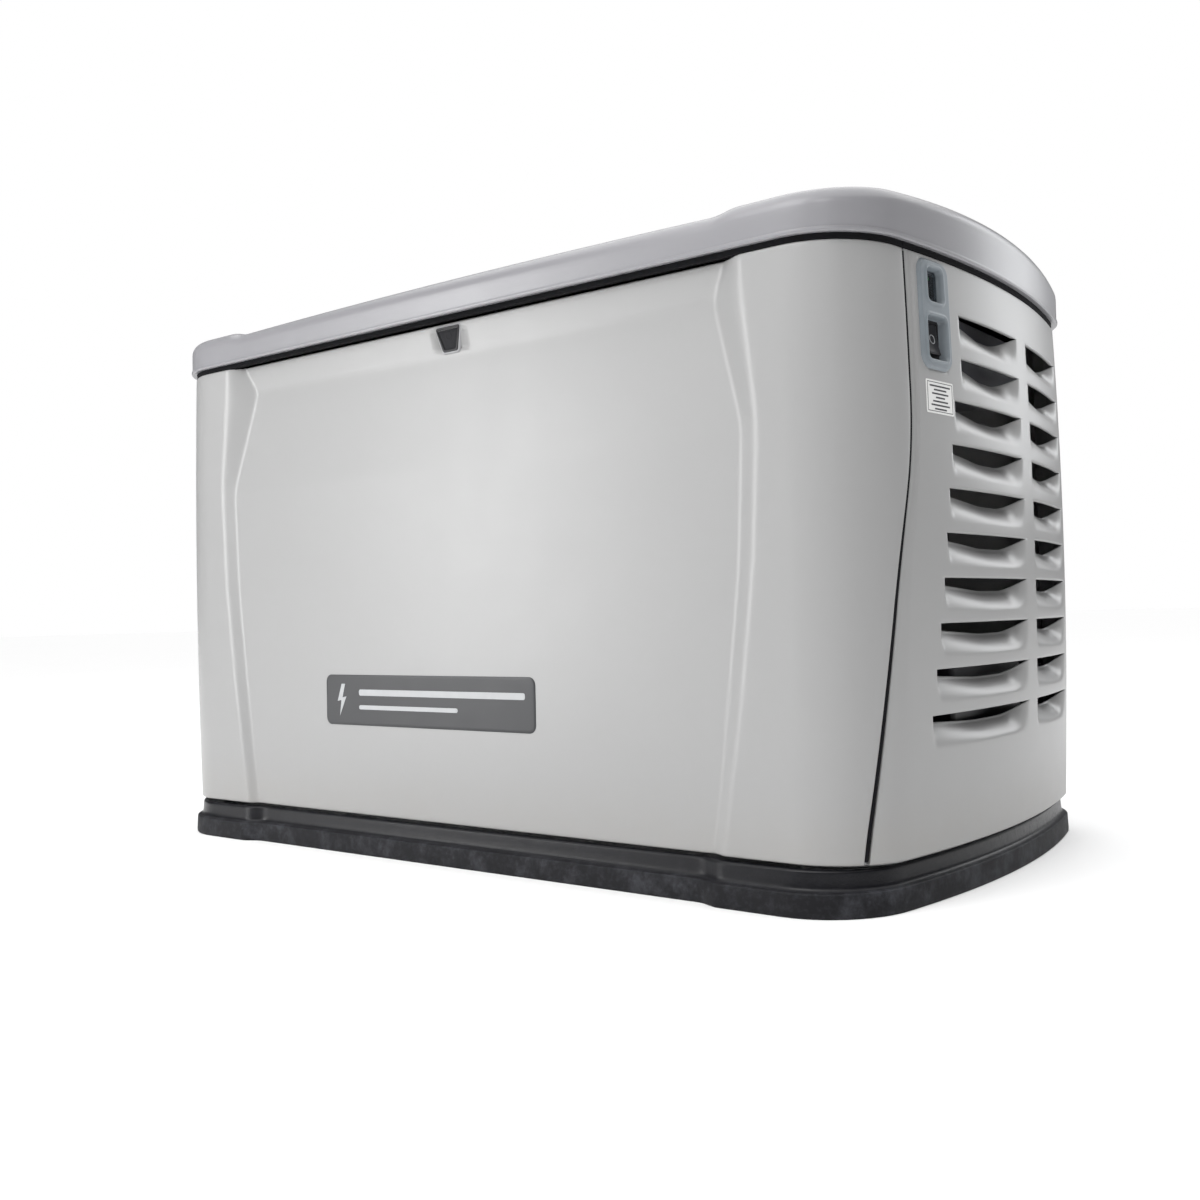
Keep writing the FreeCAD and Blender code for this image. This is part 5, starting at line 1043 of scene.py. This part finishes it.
class GENERATOR_OT_bezel(bpy.types.Operator):
    """Mould the bezel and fit its window, lamp glass and shutdown rocker"""

    bl_idname = "generator.bezel"
    bl_label = "Bezel and Switch"

    def execute(self, context):
        paint = context.scene.generator_finish
        mesh = plate(BEZEL_OUTLINE, 0.9 * MM, bezel_height, on_wall, -17 * MM)
        middle = BODY.along(BEZEL_Y)
        for face in mesh.faces:
            centre = face.calc_center_median()
            around, over = BODY.along(centre.y) - middle, centre.z
            if (POCKET.distance(around, over) < -POCKET_LINING
                    or WINDOW.distance(around, over) < -WINDOW_LINING):
                face.material_index = 1
        bezel = piece("bezel_moulding", mesh, "enclosure",
                      moulded("Bezel plastic", paint.bezel, 0.42, depth=0.00006),
                      ["control_bezel"], sharp=70.0)
        frame_black = moulded("Switch frame plastic", (0.012, 0.012, 0.013), 0.5, shine=0.3)
        bezel.data.materials.append(frame_black)
        pane = rectangle(13.6 * MM, BEZEL_Z[1] - 45.6 * MM, BEZEL_Z[1] - 11.4 * MM, 4.6 * MM)
        glass = plate(pane, 1.6 * MM, lambda a, b: -3.6 * MM, on_wall, -1.8 * MM)
        piece("status_window", glass, "enclosure", clear_window("Window polycarbonate", (0.34, 0.37, 0.4)),
              ["status_lens"])
        low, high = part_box("shutdown_switch")
        middle = (low.z + high.z) / 2
        half, reach = 11.6 * MM, (high.z - low.z) / 2 - 0.2 * MM
        face = rectangle(half, middle - reach, middle + reach, 1.6 * MM)
        lean = math.radians(9.0)

        def rocker_lift(a, b):
            rise = (b - middle) / reach
            dished = 1.6 * MM * (rise * rise - 1)
            return -2.6 * MM + dished - math.tan(lean) * (b - middle) - 0.8 * MM * (
                1 - step_in(face.distance(a, b), 1.4 * MM))

        rocker = plate(face, 0.8 * MM, rocker_lift, on_wall, -7 * MM)
        black = moulded("Rocker plastic", (0.012, 0.012, 0.014), 0.42, shine=0.35)
        piece("shutdown_rocker", rocker, "switch_rocker", black, ["shutdown_switch"],
              sharp=60.0)
        mark = bmesh.new()
        ring_r, wire = 4.6 * MM, 0.55 * MM
        around, sides = 40, 8
        for k in range(around):
            u = 2 * math.pi * k / around
            for m in range(sides):
                v = 2 * math.pi * m / sides
                a = (ring_r + wire * math.cos(v)) * math.cos(u)
                b = middle + (ring_r + wire * math.cos(v)) * math.sin(u)
                mark.verts.new(on_wall(a, b, rocker_lift(a, b) + wire * math.sin(v)))
        mark.verts.ensure_lookup_table()
        for k in range(around):
            for m in range(sides):
                corners = [(k, m), ((k + 1) % around, m), ((k + 1) % around, (m + 1) % sides),
                           (k, (m + 1) % sides)]
                mark.faces.new([mark.verts[i * sides + j] for i, j in corners])
        bmesh.ops.recalc_face_normals(mark, faces=mark.faces)
        piece("rocker_ring", mark, "switch_rocker", moulded("Rocker print", (0.3, 0.31, 0.32), 0.5),
              sharp=80.0)
        return {"FINISHED"}


# ---------------------------------------------------------------- lock

LOCK_TILT = math.atan(9 / 55)
LOCK_MID_Z = TOP_Z - 16.5 * MM
LOCK_FACE_Y = -HALF_WIDTH + 13.7 * MM


def on_lock(a, b, out):
    """Point over the sloping floor behind the lock, from its middle."""
    rise = b - LOCK_MID_Z
    return Vector((a, LOCK_FACE_Y - rise * math.sin(LOCK_TILT) - out * math.cos(LOCK_TILT),
                   LOCK_MID_Z + rise * math.cos(LOCK_TILT) - out * math.sin(LOCK_TILT)))


def lock_outline(grow, radius):
    """Trapezoid of the lock, enlarged by a margin."""
    foot, top = 13.5 * MM + grow, 22.5 * MM + grow
    low, high = TOP_Z - 36 * MM - grow, TOP_Z - 3.5 * MM + grow
    return Outline([(-foot, low), (foot, low), (top, high), (-top, high)], radius)


class GENERATOR_OT_lock(bpy.types.Operator):
    """Mould the lock's raised surround and its hinged cover"""

    bl_idname = "generator.lock"
    bl_label = "Lock"

    def execute(self, context):
        paint = context.scene.generator_finish
        outline, seat = lock_outline(0.0, 4 * MM), lock_outline(-3.3 * MM, 2.4 * MM)

        def surround(a, b):
            edge = 1.5 * MM * (step_in(outline.distance(a, b), 1.6 * MM) - 1)
            return edge - 2.8 * MM * step_in(seat.distance(a, b), 1.2 * MM)

        mesh = plate(outline, 0.6 * MM, surround, on_lock, -8 * MM)
        piece("lock_surround", mesh, "front_cover", moulded("Lock plastic", paint.latch, 0.42, shine=0.35),
              ["lock_housing"], sharp=65.0)
        rim, middle = lock_outline(1.9 * MM, 5 * MM), lock_outline(-2.2 * MM, 2.4 * MM)

        def trim(a, b):
            edge = -2.4 * MM + 1.5 * MM * step_in(rim.distance(a, b), 1.4 * MM)
            return edge - 3.4 * MM * step_in(middle.distance(a, b), 1.0 * MM)

        mesh = plate(rim, 0.8 * MM, trim, on_lock, -5.2 * MM)
        piece("lock_trim", mesh, "front_cover", moulded("Lock trim", (0.3, 0.3, 0.31), 0.4),
              sharp=65.0)
        flap = lock_outline(-3.9 * MM, 2.0 * MM)

        def cover(a, b):
            dome = 0.9 * MM * step_in(flap.distance(a, b), 5 * MM)
            hollow = math.hypot(a, b - LOCK_MID_Z - 1 * MM) - 4.6 * MM
            rib = max(0.0, 1 - abs(hollow) / (0.9 * MM))
            return -1.6 * MM + dome + 0.5 * MM * ramp(rib, 0.4, 0.4)

        mesh = plate(flap, 0.55 * MM, cover, on_lock, -2.4 * MM)
        black = rubber("Lock cover rubber", (0.022, 0.022, 0.024), 0.0008, 0.00004)
        piece("lock_flap_cover", mesh, "lock_flap", black, ["lock_cover"], sharp=65.0)
        return {"FINISHED"}


# ---------------------------------------------------------------- plates and label

PLATE_LOW, PLATE_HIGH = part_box("name_plate")
PLATE_FLOOR = 7 * MM
LABEL_HALF = 26 * MM
LABEL_LOW, LABEL_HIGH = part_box("rating_label")


def on_front(a, b, out):
    """Point over the floor of the front panel's recess."""
    return Vector((a, -HALF_WIDTH + PLATE_FLOOR - out, b))


def bar(low_a, high_a, low_b, high_b, radius, lift, place, back):
    """Thin rounded bar of print, as a mesh."""
    middle, half = (low_a + high_a) / 2, (high_a - low_a) / 2
    outline = rectangle(half, low_b, high_b, radius, middle)
    step = max(radius, (high_b - low_b) / 4)
    return plate(outline, step, lambda a, b: lift, place, back)


def merged(meshes):
    """One bmesh from several."""
    whole = bmesh.new()
    for mesh in meshes:
        data = bpy.data.meshes.new("part")
        mesh.to_mesh(data)
        mesh.free()
        whole.from_mesh(data)
        bpy.data.meshes.remove(data)
    return whole


def bolt_sign(size, centre, lift, place):
    """Plain lightning flash as a thin raised shape."""
    outline = [(-0.02, 1.0), (-0.42, -0.08), (-0.06, -0.02), (-0.22, -1.0), (0.42, 0.22), (0.04, 0.14),
               (0.3, 1.0)]
    mesh = bmesh.new()
    front = [mesh.verts.new(place(centre[0] + a * size, centre[1] + b * size, lift)) for a, b in outline]
    rear = [mesh.verts.new(place(centre[0] + a * size, centre[1] + b * size, lift - 0.3 * MM))
            for a, b in outline]
    mesh.faces.new(front)
    mesh.faces.new(list(reversed(rear)))
    count = len(outline)
    for k in range(count):
        n = (k + 1) % count
        mesh.faces.new((front[k], rear[k], rear[n], front[n]))
    bmesh.ops.recalc_face_normals(mesh, faces=mesh.faces)
    return mesh


class GENERATOR_OT_plates(bpy.types.Operator):
    """Fit the plain plate on the front and the label under the bezel, with generic print"""

    bl_idname = "generator.plates"
    bl_label = "Plates and Label"

    def execute(self, context):
        paint = context.scene.generator_finish
        low, high = PLATE_LOW, PLATE_HIGH
        middle, half = (low.x + high.x) / 2, (high.x - low.x) / 2
        outline = rectangle(half, low.z, high.z, 10 * MM, middle)
        mesh = plate(outline, 2.0 * MM,
                     lambda a, b: 0.35 * MM + 0.45 * MM * step_in(outline.distance(a, b), 1.5 * MM),
                     on_front, -0.6 * MM)
        ink = moulded("Plate film", paint.print_ink, 0.38, 0.0012, 0.00002)
        piece("badge_plate", mesh, "front_cover", ink, ["name_plate"])
        lift, back = 1.0 * MM, -0.5 * MM
        left, right = low.x + 16 * MM, high.x - 16 * MM
        mid_z = (low.z + high.z) / 2
        start = left + 50 * MM
        bars = [(start, right, mid_z + 6 * MM, mid_z + 14 * MM),
                (start, start + 0.62 * (right - start), mid_z - 12 * MM, mid_z - 6.5 * MM)]
        marks = [bar(*limits, 2.5 * MM, lift, on_front, back) for limits in bars]
        marks.append(bolt_sign(21 * MM, (left + 16 * MM, mid_z), lift, on_front))
        pale = moulded("Plate print", (0.42, 0.43, 0.44), 0.42)
        piece("badge_marks", merged(marks), "front_cover", pale)

        tall = (LABEL_LOW.z, LABEL_HIGH.z)

        def on_label(a, b, out):
            return on_wall(a + 3 * MM, b, out)

        film = rectangle(LABEL_HALF, *tall, 1.2 * MM)
        mesh = plate(film, 2.0 * MM, lambda a, b: 0.45 * MM, on_label, -0.4 * MM)
        piece("label_film", mesh, "enclosure", moulded("Label film", paint.film, 0.5, 0.002, 0.00002),
              ["rating_label"])
        inner, line = LABEL_HALF - 2 * MM, 0.7 * MM
        foot, head = tall[0] + 2 * MM, tall[1] - 2 * MM
        frame_bars = [(-inner, inner, head - line, head), (-inner, inner, foot, foot + line),
                      (-inner, -inner + line, foot, head), (inner - line, inner, foot, head)]
        shares = (0.82, 0.5, 0.66, 0.36, 0.6, 0.74, 0.48)
        pitch = (head - foot - 3 * MM) / len(shares)
        for k, share in enumerate(shares):
            z = head - 2.6 * MM - (k + 0.5) * pitch + 0.5 * MM
            frame_bars.append((-inner * share, inner * share, z - 0.85 * MM, z + 0.85 * MM))
        marks = [bar(*limits, 0.25 * MM, 0.6 * MM, on_label, -0.12 * MM) for limits in frame_bars]
        piece("label_print", merged(marks), "enclosure", moulded("Label ink", (0.03, 0.03, 0.035), 0.5))
        return {"FINISHED"}


# ---------------------------------------------------------------- CAD pieces

class GENERATOR_OT_inner_pieces(bpy.types.Operator):
    """Finish the frame, engine, alternator, controls and hardware, and soften their edges"""

    bl_idname = "generator.inner_pieces"
    bl_label = "Engine, Frame and Controls"

    def execute(self, context):
        shape = context.scene.generator_shape
        colours = {m["slot"]: m["base_color"] for m in frame["record"]["materials"]}
        slots = {part["node"]: part["material_slot"] for part in frame["record"]["subparts"]}
        finishes = {}
        for node, held in frame["nodes"].items():
            if held.hide_render:
                continue
            slot = slots[node]
            if slot not in finishes:
                maker = SLOT_FINISHES[slot]
                finishes[slot] = maker(slot.replace("_", " ").capitalize(), colours[slot][:3])
            held.data.materials.clear()
            held.data.materials.append(finishes[slot])
            custom = held.data.attributes.get("custom_normal")
            if custom:
                held.data.attributes.remove(custom)
            held.data.shade_smooth()
            held.data.set_sharp_from_angle(angle=math.radians(28.0))
            weld = held.modifiers.new("Join faces", "WELD")
            weld.merge_threshold = 0.002 * MM
            flat = held.modifiers.new("Merge flats", "DECIMATE")
            flat.decimate_type, flat.angle_limit = "DISSOLVE", math.radians(1.0)
            edge = held.modifiers.new("Soft edges", "BEVEL")
            edge.width, edge.segments = shape.cad_edge, 2
            edge.limit_method, edge.angle_limit = "ANGLE", math.radians(40.0)
        return {"FINISHED"}


# ---------------------------------------------------------------- stage

CAMERA_AT = (1.1070, -1.3604, 0.3009)
CAMERA_YAW, CAMERA_PITCH, CAMERA_ROLL = 0.6111, 0.0296, -0.0247
CAMERA_LENS, SENSOR = 36.477, 36.0
CAMERA_SHIFT = (-0.0783, -0.0184)
LIGHTS = (
    # name, azimuth, elevation, distance, width, height, watts, colour
    ("Key softbox", -6.0, 42.0, 3.4, 2.0, 1.6, 55.0, (1.0, 1.0, 1.0)),
    ("Left strip", -40.0, 8.0, 3.4, 0.4, 2.0, 40.0, (1.0, 1.0, 1.0)),
    ("Lid light", 34.0, 34.0, 3.2, 0.5, 0.5, 8.0, (1.0, 1.0, 1.0)),
    ("Rear softbox", 150.0, 22.0, 3.2, 1.0, 1.8, 20.0, (0.97, 0.985, 1.0)),
)
OVERHEAD_STRENGTH = 3.1
OVERHEAD_SPREAD = 95.0
OVERHEAD_TILT = -8.0
FLOOR_HALF = 60.0
LIGHT_TARGET = Vector((0.0, 0.0, 0.35))
SKY = 0.10
BACKDROP = 1.0


class GENERATOR_OT_stage(bpy.types.Operator):
    """Set the pale floor, the studio lights and the camera"""

    bl_idname = "generator.stage"
    bl_label = "Studio Stage"

    def execute(self, context):
        scene = context.scene
        scene.view_settings.view_transform = "Standard"
        self.floor()
        self.sky(scene)
        for name, azimuth, elevation, distance, width, height, watts, tint in LIGHTS:
            a, e = math.radians(azimuth), math.radians(elevation)
            towards = Vector((math.sin(a) * math.cos(e), -math.cos(a) * math.cos(e), math.sin(e)))
            lamp = bpy.data.lights.new(name, "AREA")
            lamp.shape, lamp.size, lamp.size_y = "RECTANGLE", width, height
            lamp.energy, lamp.color = watts, tint
            stand = bpy.data.objects.new(name, lamp)
            stand.location = LIGHT_TARGET + towards * distance
            stand.rotation_mode = "QUATERNION"
            stand.rotation_quaternion = towards.to_track_quat("Z", "Y")
            scene.collection.objects.link(stand)
        overhead = bpy.data.lights.new("Overhead", "SUN")
        overhead.energy, overhead.angle = OVERHEAD_STRENGTH, math.radians(OVERHEAD_SPREAD)
        above = bpy.data.objects.new("Overhead", overhead)
        above.rotation_euler = (math.radians(OVERHEAD_TILT), 0.0, 0.0)
        scene.collection.objects.link(above)
        self.camera(scene)
        return {"FINISHED"}

    def floor(self):
        """Large floor with a slightly uneven matt finish."""
        mesh = bmesh.new()
        bmesh.ops.create_grid(mesh, x_segments=24, y_segments=24, size=FLOOR_HALF)
        data = bpy.data.meshes.new("floor")
        mesh.to_mesh(data)
        mesh.free()
        made = Finish("Pale floor", Specular_IOR_Level=0.2)
        made.feed(Base_Color=made.blend(made.noise(0.8, 3.0), (0.94, 0.94, 0.94), (0.96, 0.96, 0.96)),
                  Roughness=0.75 + 0.1 * made.noise(0.1))
        data.materials.append(made.material)
        ground = bpy.data.objects.new("floor", data)
        bpy.context.scene.collection.objects.link(ground)

    def sky(self, scene):
        """Soft even light all round, and a white backdrop where the view looks past the floor."""
        world = bpy.data.worlds.new("Studio")
        scene.world = world
        world.use_nodes = True
        tree = world.node_tree
        light = tree.nodes["Background"]
        light.inputs["Strength"].default_value = SKY
        white = tree.nodes.new("ShaderNodeBackground")
        white.inputs["Strength"].default_value = BACKDROP
        for shader in (light, white):
            shader.inputs["Color"].default_value = (1.0, 1.0, 1.0, 1.0)
        rays = tree.nodes.new("ShaderNodeLightPath")
        choice = tree.nodes.new("ShaderNodeMixShader")
        tree.links.new(rays.outputs["Is Camera Ray"], choice.inputs["Fac"])
        tree.links.new(light.outputs[0], choice.inputs[1])
        tree.links.new(white.outputs[0], choice.inputs[2])
        tree.links.new(choice.outputs[0], tree.nodes["World Output"].inputs["Surface"])

    def camera(self, scene):
        """Camera low in front of the right corner."""
        yaw, pitch, roll = CAMERA_YAW, CAMERA_PITCH, CAMERA_ROLL
        ahead = Vector((-math.sin(yaw) * math.cos(pitch), math.cos(yaw) * math.cos(pitch), math.sin(pitch)))
        right = Vector((math.cos(yaw), math.sin(yaw), 0.0))
        up = right.cross(ahead)
        tilted_right = right * math.cos(roll) + up * math.sin(roll)
        tilted_up = up * math.cos(roll) - right * math.sin(roll)
        lens = bpy.data.cameras.new("Camera")
        lens.lens, lens.sensor_width = CAMERA_LENS, SENSOR
        lens.shift_x, lens.shift_y = CAMERA_SHIFT
        view = bpy.data.objects.new("Camera", lens)
        axes = Matrix((tilted_right, tilted_up, -ahead)).transposed().to_4x4()
        view.matrix_world = Matrix.Translation(CAMERA_AT) @ axes
        scene.collection.objects.link(view)
        scene.camera = view


# ---------------------------------------------------------------- add-on

PIECE_OPERATORS = (GENERATOR_OT_front_panel, GENERATOR_OT_end_panels, GENERATOR_OT_rear_panel,
                   GENERATOR_OT_lid, GENERATOR_OT_pad, GENERATOR_OT_bezel, GENERATOR_OT_lock,
                   GENERATOR_OT_plates, GENERATOR_OT_inner_pieces, GENERATOR_OT_stage)


class GENERATOR_PT_panel(bpy.types.Panel):
    """Sidebar panel with the sizes, colours and building steps"""

    bl_idname = "GENERATOR_PT_panel"
    bl_label = "Standby Generator"
    bl_space_type = "VIEW_3D"
    bl_region_type = "UI"
    bl_category = "Generator"

    def draw(self, context):
        for group in (context.scene.generator_shape, context.scene.generator_finish):
            for name in group.__annotations__:
                self.layout.prop(group, name)
        for operator in PIECE_OPERATORS:
            self.layout.operator(operator.bl_idname)


CLASSES = (GeneratorShape, GeneratorFinish, *PIECE_OPERATORS, GENERATOR_PT_panel)


def register():
    for item in CLASSES:
        bpy.utils.register_class(item)
    bpy.types.Scene.generator_shape = PointerProperty(type=GeneratorShape)
    bpy.types.Scene.generator_finish = PointerProperty(type=GeneratorFinish)


def unregister():
    del bpy.types.Scene.generator_finish
    del bpy.types.Scene.generator_shape
    for item in reversed(CLASSES):
        bpy.utils.unregister_class(item)


def main():
    """Build everything in order."""
    register()
    for operator in PIECE_OPERATORS:
        group, name = operator.bl_idname.split(".")
        getattr(getattr(bpy.ops, group), name)()
    bpy.context.view_layer.update()


if __name__ == "__main__":
    main()
